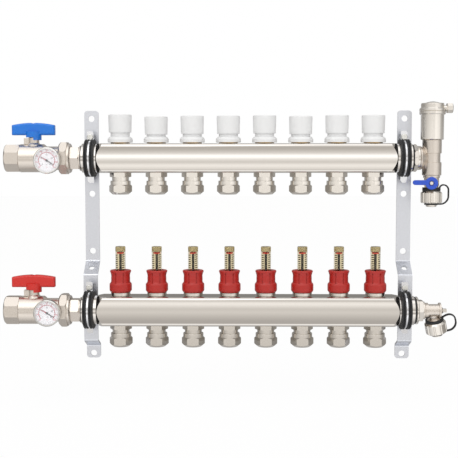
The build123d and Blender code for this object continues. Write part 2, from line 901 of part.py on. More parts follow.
def make_valve_body(dial_drop):
    """Barrel with stem housing, stop lug, thermometer boss and union thread."""
    with BuildPart() as body:
        add(
            turned(
                [
                    (-seam_out, 0), (-seam_out, barrel_d / 2), (-barrel_end, barrel_d / 2),
                    (-neck_start, neck_d / 2), (-valve_thread_start, neck_d / 2),
                    (-valve_thread_start, valve_thread_d / 2), (-valve_end, valve_thread_d / 2),
                    (-valve_end, 0),
                ],
                Axis.X,
            )
        )
        with Locations((-stem_out, 0, 0)):
            add(
                turned(
                    [
                        (0, 0), (housing_flare_d / 2, 0), (housing_flare_d / 2, barrel_d / 2 - 2),
                        (housing_d / 2, barrel_d / 2 + 1.6), (housing_d / 2, housing_top - 0.8),
                        (housing_d / 2 - 0.8, housing_top), (0, housing_top),
                    ]
                )
            )
            with Locations((-lug_reach, 0, barrel_d / 2 + seat_gap)):
                Box(
                    lug_reach, lug_width, lug_top - barrel_d / 2 - seat_gap,
                    align=(Align.MIN, Align.CENTER, Align.MIN),
                )
        add(
            turned(
                [
                    (-end_octagon_start, 0), (-end_octagon_start, barrel_d / 2 + seat_gap),
                    (-seam_out, barrel_d / 2 + seat_gap), (-seam_out, 0),
                ],
                Axis.X,
            ),
            mode=Mode.SUBTRACT,
        )
        with BuildSketch(Plane.XZ):
            with Locations((-dial_out, -dial_drop)):
                Circle(dial_boss_d / 2)
        extrude(amount=dial_boss_front)
        add(
            turned(
                [
                    (-seam_out, 0), (-seam_out, ball_cavity_d / 2), (cavity_right, ball_cavity_d / 2),
                    (cavity_right, valve_bore_d / 2), (-valve_end, valve_bore_d / 2), (-valve_end, 0),
                ],
                Axis.X,
            ),
            mode=Mode.SUBTRACT,
        )
        with BuildSketch(Plane.XY):
            with Locations((-stem_out, 0)):
                Circle(stem_d / 2 + running_gap)
        extrude(amount=housing_top, mode=Mode.SUBTRACT)
        with BuildSketch(Plane.XZ.offset(valve_bore_d / 2 + 3)):
            with Locations((-dial_out, -dial_drop)):
                Circle(dial_stem_d / 2 + seat_gap)
        extrude(amount=dial_boss_front, mode=Mode.SUBTRACT)
    return body.part


with BuildPart() as valve_end_piece:
    add(octagon_bar(-inlet_out, -end_octagon_start, end_octagon_af, chamfer_start=2.4, chamfer_end=1.0))
    add(
        turned(
            [
                (-end_octagon_start - 0.5, 0), (-end_octagon_start - 0.5, barrel_d / 2 - 1),
                (-end_octagon_start + 0.6, barrel_d / 2), (-seam_out, barrel_d / 2), (-seam_out, 0),
            ],
            Axis.X,
        )
    )
    add(
        turned(
            [
                (-inlet_out, 0), (-inlet_out, inlet_thread_d / 2),
                (inlet_thread_depth - inlet_out, inlet_thread_d / 2),
                (inlet_thread_depth - inlet_out, valve_bore_d / 2), (cavity_left, valve_bore_d / 2),
                (cavity_left, ball_cavity_d / 2), (-seam_out, ball_cavity_d / 2), (-seam_out, 0),
            ],
            Axis.X,
        ),
        mode=Mode.SUBTRACT,
    )

with BuildPart() as ball_valve_bodies:
    for end, drop in zip(left_ends, dial_drops):
        with Locations(end):
            add(make_valve_body(drop))
            add(valve_end_piece.part)
ball_valve_bodies.part.label = "ball_valve_bodies"
export_step(ball_valve_bodies.part, "parts/ball_valve_bodies.step")

# Ball, stem and stem screw, about the point where stem and pipe axes cross
tang_low = sqrt((ball_d / 2) ** 2 - (stem_d / 2) ** 2) - 2.2
square_top = handle_screw_seat - 1.0
with BuildPart() as ball:
    Sphere(ball_d / 2)
    Cylinder(ball_bore_d / 2, 2 * ball_d, rotation=(0, 90, 0), mode=Mode.SUBTRACT)
    with Locations((0, 0, tang_low)):
        Box(
            stem_d + 1, stem_tang + 2 * seat_gap, ball_d,
            align=(Align.CENTER, Align.CENTER, Align.MIN), mode=Mode.SUBTRACT,
        )
with BuildPart() as stem:
    with BuildSketch(Plane.XY.offset(ball_d / 2 + seat_gap)):
        Circle(stem_d / 2)
    extrude(amount=housing_top - ball_d / 2 - seat_gap)
    with BuildSketch(Plane.XY.offset(housing_top)):
        Rectangle(stem_square, stem_square)
    extrude(amount=square_top - housing_top)
    with Locations((0, 0, tang_low + seat_gap)):
        Box(
            stem_d - 1.2, stem_tang, ball_d / 2 - tang_low + 1,
            align=(Align.CENTER, Align.CENTER, Align.MIN),
        )
with BuildPart() as stem_screw:
    with BuildSketch(Plane.XY.offset(handle_screw_seat)):
        Circle(handle_screw_d / 2)
    extrude(amount=2.4)
    fillet(stem_screw.edges().group_by(Axis.Z)[-1], 0.8)
    with BuildSketch(Plane.XY.offset(handle_screw_seat + 2.4)):
        Rectangle(recess_width, recess_length)
        Rectangle(recess_length, recess_width)
    extrude(amount=-recess_depth, mode=Mode.SUBTRACT)
    with BuildSketch(Plane.XY.offset(handle_screw_seat)):
        Circle(stem_square / 2 - 1)
    extrude(amount=square_top - handle_screw_seat)

# T-handles: arched cross arm, hub and a stop lug that hangs beside the housing
with BuildPart() as handle:
    with BuildSketch(Plane.XZ):
        with BuildLine():
            Polyline(
                (-handle_half, handle_end_top), (-handle_half, handle_bottom),
                (handle_half, handle_bottom), (handle_half, handle_end_top),
            )
            ThreePointArc((-handle_half, handle_end_top), (0, handle_apex), (handle_half, handle_end_top))
        arm_face = make_face()
        fillet(arm_face.vertices(), 1.2)
    extrude(amount=handle_thickness / 2, both=True)
    fillet(handle.edges().filter_by(Axis.Z), 3.0)
    with BuildSketch(Plane.XY.offset(housing_top + body_gap)):
        Circle(handle_hub_d / 2)
    extrude(amount=handle_hub_top - housing_top - body_gap)
    lug_inner_r = housing_d / 2 + body_gap
    with BuildSketch(Plane.XY.offset(handle_lug_bottom)):
        with BuildLine():
            CenterArc((0, 0), handle_hub_d / 2, -82, 150)
            CenterArc((0, 0), lug_inner_r, -82, 150)
            for angle in (-82, 68):
                direction = Vector(cos(radians(angle)), sin(radians(angle)))
                Line(direction * lug_inner_r, direction * (handle_hub_d / 2))
        make_face()
    extrude(amount=housing_top + body_gap - handle_lug_bottom)
    with BuildSketch(Plane.XY.offset(housing_top)):
        Rectangle(stem_square + 2 * seat_gap, stem_square + 2 * seat_gap)
    extrude(amount=handle_screw_seat - housing_top, mode=Mode.SUBTRACT)
    with BuildSketch(Plane.XY.offset(handle_screw_seat)):
        Circle(handle_screw_d / 2 + seat_gap)
    extrude(amount=handle_apex, mode=Mode.SUBTRACT)

for name, end in zip(("return", "supply"), left_ends):
    stem_place = end - Vector(stem_out, 0, 0)
    with BuildPart() as valve_ball:
        with Locations(stem_place):
            add(ball.part)
            add(stem.part)
            add(stem_screw.part)
    valve_ball.part.label = f"{name}_ball"
    export_step(valve_ball.part, f"parts/{name}_ball.step")
    with BuildPart() as valve_handle:
        with Locations(stem_place):
            add(handle.part)
    valve_handle.part.label = f"{name}_handle"
    export_step(valve_handle.part, f"parts/{name}_handle.step")

# Union nuts: octagon with a turned chamfer and a round skirt towards the bar
nut_wall_face = valve_end - tail_flange_t
with BuildPart() as union_nut:
    add(octagon_bar(-union_start, -union_octagon_end, union_af, chamfer_start=union_chamfer, chamfer_end=1.4))
    add(
        turned(
            [
                (-union_octagon_end - 0.5, 0), (-union_octagon_end - 0.5, union_ring_d / 2),
                (-union_end - 0.8, union_ring_d / 2), (-union_end, union_ring_d / 2 - 0.8), (-union_end, 0),
            ],
            Axis.X,
        )
    )
    thread_r = valve_thread_d / 2 + seat_gap
    neck_hole_r = tail_neck_d / 2 + seat_gap
    add(
        turned(
            [
                (-union_start, 0), (-union_start, thread_r), (-nut_wall_face, thread_r),
                (-nut_wall_face, neck_hole_r), (-union_end, neck_hole_r), (-union_end, 0),
            ],
            Axis.X,
        ),
        mode=Mode.SUBTRACT,
    )
with BuildPart() as union_nuts:
    with Locations(*left_ends):
        add(union_nut.part)
union_nuts.part.label = "union_nuts"
export_step(union_nuts.part, "parts/union_nuts.step")

# Union tails: flange held by the nut, hexagon, ring and thread into the bar
with BuildPart() as union_tail:
    add(
        turned(
            [
                (-valve_end, 0), (-valve_end, tail_flange_d / 2), (-nut_wall_face, tail_flange_d / 2),
                (-nut_wall_face, tail_neck_d / 2), (-tail_hex_end - 0.5, tail_neck_d / 2),
                (-tail_hex_end - 0.5, neck_d / 2 - 2), (-tail_hex_end + 0.8, neck_d / 2 - 2),
                (-tail_hex_end + 0.8, tail_ring_d / 2), (-left_seal_t, tail_ring_d / 2),
                (-left_seal_t, end_thread_d / 2 - seat_gap), (tail_grip, end_thread_d / 2 - seat_gap),
                (tail_grip, 0),
            ],
            Axis.X,
        )
    )
    add(hex_bar(-union_end + body_gap, -tail_hex_end, tail_hex_af, bevel=0.9))
    with BuildSketch(Plane.YZ.offset(-valve_end)):
        Circle(tail_bore_d / 2)
    extrude(amount=valve_end + tail_grip, mode=Mode.SUBTRACT)
with BuildPart() as union_tails:
    with Locations(*left_ends):
        add(union_tail.part)
union_tails.part.label = "union_tails"
export_step(union_tails.part, "parts/union_tails.step")

# Thermometers: round case with a recessed dial, glass and needle, stem in the valve's boss
dial_floor = dial_case_front - dial_depth
case_rim = 0.9
thermometer_case = turned(
    [
        (0, -dial_floor), (dial_d / 2, -dial_floor), (dial_d / 2, -dial_case_front),
        (dial_case_d / 2 - case_rim, -dial_case_front), (dial_case_d / 2, case_rim - dial_case_front),
        (dial_case_d / 2, -dial_case_back - 1.0), (dial_case_d / 2 - 1.0, -dial_case_back),
        (dial_stem_d / 2, -dial_case_back), (dial_stem_d / 2, -valve_bore_d / 2 - 4),
        (0, -valve_bore_d / 2 - 4),
    ]
)
glass_back = dial_case_front - body_gap - dial_glass_t
thermometer_glass = turned(
    [
        (0, -glass_back), (dial_d / 2 - seat_gap, -glass_back),
        (dial_d / 2 - seat_gap, -glass_back - dial_glass_t), (0, -glass_back - dial_glass_t),
    ]
)
# The turned pieces above point down -Z, and this rotation turns them to face -Y
face_front = (-90, 0, 0)
dial_places = [
    end + Vector(-dial_out, 0, -drop) for end, drop in zip(left_ends, dial_drops)
]
with BuildPart() as thermometer_cases:
    with Locations(*[Location(p, face_front) for p in dial_places]):
        add(thermometer_case)
thermometer_cases.part.label = "thermometer_cases"
export_step(thermometer_cases.part, "parts/thermometer_cases.step")

with BuildPart() as thermometer_glasses:
    with Locations(*[Location(p, face_front) for p in dial_places]):
        add(thermometer_glass)
thermometer_glasses.part.label = "thermometer_glasses"
export_step(thermometer_glasses.part, "parts/thermometer_glasses.step")

needle_back = dial_floor + body_gap
for name, place in zip(("return", "supply"), dial_places):
    with BuildPart() as needle:
        with BuildSketch(Plane(origin=place + Vector(0, -needle_back, 0), x_dir=(1, 0, 0), z_dir=(0, -1, 0))):
            Circle(needle_hub_d / 2)
            tip = Vector(needle_length, 0).rotate(Axis.Z, needle_angle)
            tail = Vector(-needle_tail, 0).rotate(Axis.Z, needle_angle)
            root = Vector(0, 0.7).rotate(Axis.Z, needle_angle)
            blunt = Vector(0, 0.35).rotate(Axis.Z, needle_angle)
            with BuildLine():
                Polyline(root, tip, root * -1, tail - blunt, tail + blunt, close=True)
            make_face()
        extrude(amount=needle_t)
    needle.part.label = f"{name}_needle"
    export_step(needle.part, f"parts/{name}_needle.step")

# Seals at the four bar ends
right_seal = turned(
    [
        (0, end_thread_d / 2), (end_seal_t, end_thread_d / 2), (end_seal_t, end_seal_d / 2 - 0.5),
        (end_seal_t - 0.5, end_seal_d / 2), (0.5, end_seal_d / 2), (0, end_seal_d / 2 - 0.5),
    ],
    Axis.X,
)
left_seal = turned(
    [
        (-left_seal_t, end_thread_d / 2), (0, end_thread_d / 2), (0, tail_ring_d / 2),
        (-left_seal_t, tail_ring_d / 2),
    ],
    Axis.X,
)
with BuildPart() as end_seals:
    with Locations(*right_ends):
        add(right_seal)
    with Locations(*left_ends):
        add(left_seal)
end_seals.part.label = "end_seals"
export_step(end_seals.part, "parts/end_seals.step")

# End bushings: hexagon for the tee on the return bar, flange and hexagon on the supply bar
bar_thread_r = end_thread_d / 2 - seat_gap
tee_thread_r = tee_thread_d / 2 - seat_gap
with BuildPart() as tee_bushing:
    add(hex_bar(end_seal_t, tee_bushing_hex_end, tee_bushing_cc * sqrt(3) / 2, turn=30, bevel=1.3))
    add(
        turned(
            [
                (-bushing_grip, 0), (-bushing_grip, bar_thread_r), (end_seal_t + 1, bar_thread_r),
                (end_seal_t + 1, bushing_ring_d / 2), (bushing_ring_end, bushing_ring_d / 2),
                (bushing_ring_end, tee_thread_r), (tee_inlet_face + tee_grip, tee_thread_r),
                (tee_inlet_face + tee_grip, 0),
            ],
            Axis.X,
        )
    )
    with BuildSketch(Plane.YZ.offset(-bushing_grip)):
        Circle(bushing_bore_d / 2)
    extrude(amount=bushing_grip + tee_inlet_face + tee_grip, mode=Mode.SUBTRACT)
fill_thread_r = fill_body_d / 2 - 2
with BuildPart() as fill_bushing:
    add(
        turned(
            [
                (-bushing_grip, 0), (-bushing_grip, bar_thread_r), (end_seal_t, bar_thread_r),
                (end_seal_t, fill_flange_d / 2 - 0.8), (end_seal_t + 0.8, fill_flange_d / 2),
                (fill_flange_end - 0.8, fill_flange_d / 2), (fill_flange_end, fill_flange_d / 2 - 0.8),
                (fill_flange_end, 0),
            ],
            Axis.X,
        )
    )
    add(hex_bar(fill_flange_end - 0.5, fill_hex_end, fill_hex_af, bevel=0.9))
    with BuildSketch(Plane.YZ.offset(-bushing_grip)):
        Circle(fill_bore_d / 2)
    extrude(amount=bushing_grip + fill_hex_end, mode=Mode.SUBTRACT)
with BuildPart() as end_bushings:
    with Locations(right_ends[0]):
        add(tee_bushing.part)
    with Locations(right_ends[1]):
        add(fill_bushing.part)
end_bushings.part.label = "end_bushings"
export_step(end_bushings.part, "parts/end_bushings.step")

# Tee: side inlet that tapers into an upright run with two sockets
with BuildPart() as tee:
    add(
        turned(
            [
                (tee_inlet_face, 0), (tee_inlet_face, tee_inlet_d / 2 - 0.6),
                (tee_inlet_face + 0.6, tee_inlet_d / 2), (tee_inlet_straight, tee_inlet_d / 2),
                (tee_axis - tee_web_start, tee_waist_top + 0.4), (tee_axis, tee_waist_top - 1), (tee_axis, 0),
            ],
            Axis.X,
        )
    )
    with Locations((tee_axis, 0, 0)):
        add(
            turned(
                [
                    (0, tee_top), (tee_socket_d / 2 - 0.8, tee_top), (tee_socket_d / 2, tee_top - 0.8),
                    (tee_socket_d / 2, tee_waist_top + 0.4), (tee_waist_d / 2, tee_waist_top),
                    (tee_waist_d / 2, tee_waist_bottom), (tee_socket_d / 2, tee_waist_bottom - 0.4),
                    (tee_socket_d / 2, tee_bottom + 0.8), (tee_socket_d / 2 - 0.8, tee_bottom), (0, tee_bottom),
                ]
            )
        )
    with BuildSketch(Plane.YZ.offset(tee_inlet_face)):
        Circle(tee_thread_d / 2)
    extrude(amount=tee_grip + 0.5, mode=Mode.SUBTRACT)
    with BuildSketch(Plane.YZ.offset(tee_inlet_face)):
        Circle(tee_bore_d / 2 - 1)
    extrude(amount=tee_axis - tee_inlet_face, mode=Mode.SUBTRACT)
    for height, way in ((tee_top, -1), (tee_bottom, 1)):
        with BuildSketch(Plane.XY.offset(height)):
            with Locations((tee_axis, 0)):
                Circle(tee_thread_d / 2)
        extrude(amount=way * (tee_grip + 1), mode=Mode.SUBTRACT)
    with BuildSketch(Plane.XY.offset(tee_bottom)):
        with Locations((tee_axis, 0)):
            Circle(tee_bore_d / 2)
    extrude(amount=tee_top - tee_bottom, mode=Mode.SUBTRACT)
with BuildPart() as tee_body:
    with Locations(right_ends[0]):
        add(tee.part)
tee_body.part.label = "tee_body"
export_step(tee_body.part, "parts/tee_body.step")

# Air vent: float chamber screwed into the tee, with a screwed lid and a side port
run_top = right_ends[0] + Vector(tee_axis, 0, 0)
vent_cup = turned(
    [
        (3.0, tee_top - tee_grip), (tee_thread_r, tee_top - tee_grip), (tee_thread_r, tee_top),
        (vent_d / 2 - 0.8, tee_top), (vent_d / 2, tee_top + 0.8), (vent_d / 2, vent_top),
        (vent_d / 2 - vent_wall, vent_top), (vent_d / 2 - vent_wall, tee_top + 3), (3.0, tee_top + 3),
    ]
)
lid_mid = (vent_top + vent_lid_top) / 2
dome_half = vent_crown_d / 2 - 5
dome_rise = vent_dome_top - vent_crown_top
dome_r = (dome_half**2 + dome_rise**2) / (2 * dome_rise)
half_angle = asin(dome_half / dome_r) / 2
dome_mid = (dome_r * sin(half_angle), vent_dome_top - dome_r * (1 - cos(half_angle)))
with BuildPart() as vent_lid:
    with BuildSketch(Plane.XZ):
        with BuildLine():
            Polyline(
                (0, vent_top), (vent_lid_d / 2 - 0.7, vent_top), (vent_lid_d / 2, vent_top + 0.7),
                (vent_lid_d / 2, lid_mid - 0.5), (vent_lid_d / 2 - 0.5, lid_mid), (vent_lid_d / 2, lid_mid + 0.5),
                (vent_lid_d / 2, vent_lid_top - 1.4), (vent_lid_d / 2 - 1.4, vent_lid_top),
                (vent_crown_d / 2, vent_lid_top), (vent_crown_d / 2, vent_crown_top - 1),
                (vent_crown_d / 2 - 1, vent_crown_top), (dome_half, vent_crown_top),
            )
            ThreePointArc((dome_half, vent_crown_top), dome_mid, (0, vent_dome_top))
            Line((0, vent_dome_top), (0, vent_top))
        make_face()
    revolve(axis=Axis.Z)
    with BuildSketch(Plane.YZ.offset(vent_d / 2 - vent_wall)):
        with Locations((0, vent_port_height)):
            Circle(vent_port_d / 2)
    extrude(amount=vent_port_reach - vent_d / 2 + vent_wall)
    with BuildSketch(Plane.XY.offset(vent_top)):
        Circle(vent_d / 2 - 2 * vent_wall)
    extrude(amount=vent_crown_top - vent_top - 3, mode=Mode.SUBTRACT)
with BuildPart() as air_vent:
    with Locations(run_top):
        add(vent_cup)
        add(vent_lid.part)
air_vent.part.label = "air_vent"
export_step(air_vent.part, "parts/air_vent.step")

# Side cap of the vent
with BuildPart() as side_cap:
    with BuildSketch(Plane.YZ.offset(vent_cap_start)):
        with Locations((0, vent_port_height)):
            RegularPolygon(vent_cap_af / 2, 8, major_radius=False, rotation=22.5)
    extrude(amount=vent_cap_end - vent_cap_start)
    chamfer(side_cap.edges().group_by(Axis.X)[-1] + side_cap.edges().group_by(Axis.X)[0], 0.9)
    with BuildSketch(Plane.YZ.offset(vent_cap_start)):
        with Locations((0, vent_port_height)):
            Circle(vent_port_d / 2 + running_gap)
    extrude(amount=vent_port_reach - vent_cap_start + body_gap, mode=Mode.SUBTRACT)
with BuildPart() as vent_screw_cap:
    with Locations(run_top):
        add(side_cap.part)
vent_screw_cap.part.label = "vent_screw_cap"
export_step(vent_screw_cap.part, "parts/vent_screw_cap.step")

# Drain valve body under the tee, with the stem boss turned towards the front left
drain_turned = (0, 0, -drain_turn)
with BuildPart() as drain_body:
    add(
        turned(
            [
                (0, tee_bottom + tee_grip), (tee_thread_r, tee_bottom + tee_grip), (tee_thread_r, tee_bottom),
                (drain_collar_d / 2, tee_bottom), (drain_collar_d / 2, drain_collar_bottom + 0.6),
                (drain_collar_d / 2 - 0.6, drain_collar_bottom), (drain_d / 2, drain_collar_bottom),
                (drain_d / 2, drain_body_bottom), (drain_neck_d / 2, drain_body_bottom),
                (drain_neck_d / 2, cap_seat), (drain_thread_d / 2, cap_seat),
                (drain_thread_d / 2, drain_end), (0, drain_end),
            ]
        )
    )
    with BuildSketch(Plane.XZ):
        with Locations((0, lever_height)):
            Circle(lever_boss_d / 2)
    extrude(amount=lever_boss_front)
    with BuildSketch(Plane.XY.offset(drain_end)):
        Circle(drain_bore_d / 2)
    extrude(amount=tee_bottom + tee_grip - drain_end, mode=Mode.SUBTRACT)
    with Locations((0, 0, lever_height)):
        Sphere(drain_cavity_d / 2, mode=Mode.SUBTRACT)
    with BuildSketch(Plane.XZ):
        with Locations((0, lever_height)):
            Circle(lever_stem_d / 2 + running_gap)
    extrude(amount=lever_boss_front, mode=Mode.SUBTRACT)

# Fill valve body on the supply bar, with a leaning outlet
lean = radians(outlet_lean)
swing = radians(outlet_swing)
outlet_way = Vector(sin(lean), cos(lean) * sin(swing), -cos(lean) * cos(swing))
outlet_side = Vector(cos(lean), 0, sin(lean))
outlet_origin = right_ends[1] + Vector(outlet_place, 0, 0)
outlet_plane = Plane(origin=outlet_origin, x_dir=outlet_side, z_dir=outlet_way)
outlet_end = outlet_cap_seat + cap_length - cap_floor - 1
with BuildPart() as fill_barrel:
    add(
        turned(
            [
                (fill_hex_end, 0), (fill_hex_end, fill_ring_d / 2), (fill_ring_end, fill_ring_d / 2),
                (fill_ring_end, fill_ring_small_d / 2 - 1.5), (fill_ring_end + 1, fill_ring_small_d / 2 - 1.5),
                (fill_ring_end + 1, fill_ring_small_d / 2), (fill_body_start, fill_ring_small_d / 2),
                (fill_body_start, fill_body_d / 2), (fill_body_end, fill_body_d / 2),
                (fill_body_end, fill_cover_d / 2), (fill_cover_end, fill_cover_d / 2),
                (fill_cover_end, fill_nose_d), (fill_nose_end, fill_nose_d / 2), (fill_nose_end, 0),
            ],
            Axis.X,
        )
    )
outlet_tube = turned(
    [
        (0, 0), (outlet_neck_d / 2, 0), (outlet_neck_d / 2, outlet_neck_end),
        (drain_neck_d / 2, outlet_shoulder_start), (drain_neck_d / 2, outlet_cap_seat),
        (drain_thread_d / 2, outlet_cap_seat), (drain_thread_d / 2, outlet_end), (0, outlet_end),
    ]
)
with BuildPart() as fill_body:
    with Locations(right_ends[1]):
        add(fill_barrel.part)
    with Locations(outlet_plane.location):
        add(outlet_tube)
    with BuildSketch(Plane.YZ.offset(right_ends[1].X + fill_hex_end)):
        with Locations((supply_depth, supply_height)):
            Circle(fill_bore_d / 2)
    extrude(amount=spindle_root - fill_hex_end, mode=Mode.SUBTRACT)
    with BuildSketch(Plane.YZ.offset(right_ends[1].X + spindle_root)):
        with Locations((supply_depth, supply_height)):
            Circle(spindle_d / 2 + running_gap)
    extrude(amount=spindle_end - spindle_root, mode=Mode.SUBTRACT)
    with BuildSketch(outlet_plane):
        Circle(fill_bore_d / 2 - 1)
    extrude(amount=outlet_end, mode=Mode.SUBTRACT)
with BuildPart() as hose_valve_bodies:
    with Locations(Location(run_top, drain_turned)):
        add(drain_body.part)
    add(fill_body.part)
hose_valve_bodies.part.label = "hose_valve_bodies"
export_step(hose_valve_bodies.part, "parts/hose_valve_bodies.step")

# Spindle of the fill valve: round shank with a square end
with BuildPart() as drain_spindle:
    with BuildSketch(Plane.YZ.offset(right_ends[1].X + spindle_root)):
        with Locations((supply_depth, supply_height)):
            Circle(spindle_d / 2)
    extrude(amount=fill_nose_end + 0.6 - spindle_root)
    with BuildSketch(Plane.YZ.offset(right_ends[1].X + fill_nose_end + 0.6)):
        with Locations((supply_depth, supply_height)):
            Rectangle(spindle_square, spindle_square)
    extrude(amount=spindle_end - fill_nose_end - 0.6)
drain_spindle.part.label = "drain_spindle"
export_step(drain_spindle.part, "parts/drain_spindle.step")

# Drain ball with stem and lever screw
lever_back = lever_boss_front + body_gap
lever_screw_seat = lever_face - 2.6
with BuildPart() as small_ball:
    Sphere(drain_ball_d / 2)
    Cylinder(drain_bore_d / 2, 2 * drain_ball_d, rotation=(0, 90, 0), mode=Mode.SUBTRACT)
    with Locations((0, -drain_ball_d / 2 + 1.6, 0)):
        Box(
            lever_stem_d + 1, drain_ball_d, 2 + 2 * seat_gap,
            align=(Align.CENTER, Align.MAX, Align.CENTER), mode=Mode.SUBTRACT,
        )
with BuildPart() as small_stem:
    with BuildSketch(Plane.XZ.offset(drain_ball_d / 2 + seat_gap)):
        Circle(lever_stem_d / 2)
    extrude(amount=lever_screw_seat - drain_ball_d / 2 - seat_gap)
    with Locations((0, -drain_ball_d / 2 + 1.6 - seat_gap, 0)):
        Box(lever_stem_d - 0.8, 2.4, 2, align=(Align.CENTER, Align.MAX, Align.CENTER))
with BuildPart() as lever_screw:
    with BuildSketch(Plane.XZ.offset(lever_screw_seat)):
        Circle(lever_screw_d / 2)
    extrude(amount=1.8)
    fillet(lever_screw.edges().group_by(Axis.Y)[0], 0.5)
    with BuildSketch(Plane.XZ.offset(lever_screw_seat + 1.8)):
        RegularPolygon(1.2, 6)
    extrude(amount=-1.2, mode=Mode.SUBTRACT)
lever_place = Location(run_top + Vector(0, 0, lever_height), drain_turned)
with BuildPart() as drain_ball:
    with Locations(lever_place):
        add(small_ball.part)
        add(small_stem.part)
        add(lever_screw.part)
drain_ball.part.label = "drain_ball"
export_step(drain_ball.part, "parts/drain_ball.step")

# Drain lever: disc with a recess round the screw and one rounded arm
with BuildPart() as small_lever:
    with BuildSketch(Plane.XZ.offset(lever_back)):
        Circle(lever_disc_d / 2)
        with BuildLine():
            arm_end = lever_arm - lever_arm_width / 2
            half_width = lever_arm_width / 2
            Polyline(
                (0, half_width + lever_arm_rise), (-arm_end, half_width + lever_arm_rise),
            )
            ThreePointArc(
                (-arm_end, half_width + lever_arm_rise), (-lever_arm, lever_arm_rise),
                (-arm_end, lever_arm_rise - half_width),
            )
            Polyline(
                (-arm_end, lever_arm_rise - half_width), (0, lever_arm_rise - half_width),
                (0, half_width + lever_arm_rise),
            )
        make_face()
    extrude(amount=lever_face - lever_back)
    fillet(small_lever.edges().group_by(Axis.Y)[0], 1.0)
    with BuildSketch(Plane.XZ.offset(lever_screw_seat)):
        Circle(lever_recess_d / 2)
    extrude(amount=lever_face, mode=Mode.SUBTRACT)
    with BuildSketch(Plane.XZ):
        Circle(lever_stem_d / 2 + seat_gap)
    extrude(amount=lever_face, mode=Mode.SUBTRACT)
with BuildPart() as drain_lever:
    with Locations(lever_place):
        add(small_lever.part)
drain_lever.part.label = "drain_lever"
export_step(drain_lever.part, "parts/drain_lever.step")

# Hose caps: lobed grip, sloping shoulder, button for the strap; built downwards from the seat
cap_bore_r = drain_thread_d / 2 + running_gap
groove_centre = cap_d / 2 - cap_groove_depth + cap_groove_r
with BuildPart() as hose_cap:
    add(
        turned(
            [
                (0, 0), (cap_mouth_d / 2, 0), (cap_d / 2, -cap_shoulder), (cap_d / 2, 1.2 - cap_length),
                (cap_d / 2 - 1.2, -cap_length), (button_waist_d / 2, -cap_length),
                (button_waist_d / 2, button_head - cap_length - button_length),
                (button_d / 2, button_head - cap_length - button_length),
                (button_d / 2, 0.8 - cap_length - button_length),
                (button_d / 2 - 1.6, -cap_length - button_length), (0, -cap_length - button_length),
            ]
        )
    )
    with BuildSketch(Plane.XY.offset(-cap_length)):
        with PolarLocations(groove_centre, cap_lobes):
            Circle(cap_groove_r)
    extrude(amount=cap_length - cap_shoulder / 2, mode=Mode.SUBTRACT)
    with BuildSketch(Plane.XY):
        Circle(cap_bore_r)
    extrude(amount=-(cap_length - cap_floor), mode=Mode.SUBTRACT)
with BuildPart() as upper_drain_cap:
    with Locations(run_top + Vector(0, 0, cap_seat)):
        add(hose_cap.part)
upper_drain_cap.part.label = "upper_drain_cap"
export_step(upper_drain_cap.part, "parts/upper_drain_cap.step")

outlet_down = Plane(
    origin=outlet_origin + outlet_way * outlet_cap_seat, x_dir=outlet_side, z_dir=outlet_way * -1
)
with BuildPart() as lower_drain_cap:
    with Locations(outlet_down.location):
        add(hose_cap.part)
lower_drain_cap.part.label = "lower_drain_cap"
export_step(lower_drain_cap.part, "parts/lower_drain_cap.step")


# Rubber straps: a ring on the valve, a looped band and an eye round the cap's button
def make_strap(ring_r, ring_plane, ring_t, eye_drop, loop):
    """Ring, band and eye moulded in one; loop gives the band's top point, its reach and its lower bend."""
    top_x, top_z, reach, bend_r = loop
    shoulder_r = reach - top_x
    shoulder_z = top_z - shoulder_r
    run_in = top_x - (strap_ring_d / 2 - strap_grip)
    run_rise = top_z - strap_lift
    run_r = (run_in**2 + run_rise**2) / (2 * run_rise)
    run_end = degrees(atan2(run_r - run_rise, -run_in))
    with BuildPart() as band:
        with BuildLine(Plane(origin=ring_plane.origin, x_dir=ring_plane.x_dir, z_dir=-ring_plane.y_dir)) as route:
            CenterArc((top_x, top_z - run_r), run_r, 90, run_end - 90)
            CenterArc((top_x, shoulder_z), shoulder_r, 0, 90)
            Line((reach, shoulder_z), (reach, bend_r - eye_drop))
            CenterArc((reach - bend_r, bend_r - eye_drop), bend_r, 270, 90)
            Line((reach - bend_r, -eye_drop), (strap_eye_d / 2 - strap_grip, -eye_drop))
        band_path = route.wire()
        section = Plane(origin=band_path.position_at(0), z_dir=band_path.tangent_at(0), x_dir=ring_plane.y_dir)
        with BuildSketch(section):
            RectangleRounded(strap_width, strap_t, strap_t / 3)
        sweep(path=band_path)
    with BuildPart() as strap:
        with BuildSketch(ring_plane.offset(-ring_t / 2)):
            Circle(strap_ring_d / 2)
            Circle(ring_r, mode=Mode.SUBTRACT)
        extrude(amount=ring_t)
        add(band.part)
        with BuildSketch(ring_plane.offset(-eye_drop - strap_eye_t / 2)):
            Circle(strap_eye_d / 2)
            Circle(button_waist_d / 2 + body_gap, mode=Mode.SUBTRACT)
        extrude(amount=strap_eye_t)
    return strap.part


strap_grip = 1.3
strap_lift = 0.7
ring_r = drain_neck_d / 2 + seat_gap
eye_place = cap_length + (button_length - button_head) / 2
upper_ring_height = cap_seat + body_gap + strap_ring_t / 2
upper_ring = Plane(origin=run_top + Vector(0, 0, upper_ring_height))
upper_eye_drop = eye_place + upper_ring_height - cap_seat
lower_ring_place = outlet_cap_seat - body_gap - strap_low_ring_t / 2
lower_ring = Plane(
    origin=outlet_origin + outlet_way * lower_ring_place, x_dir=outlet_side, z_dir=outlet_way * -1
)
lower_eye_drop = outlet_cap_seat + eye_place - lower_ring_place
with BuildPart() as drain_straps:
    add(make_strap(ring_r, upper_ring, strap_ring_t, upper_eye_drop, upper_loop))
    add(make_strap(ring_r, lower_ring, strap_low_ring_t, lower_eye_drop, lower_loop))
drain_straps.part.label = "drain_straps"
export_step(drain_straps.part, "parts/drain_straps.step")
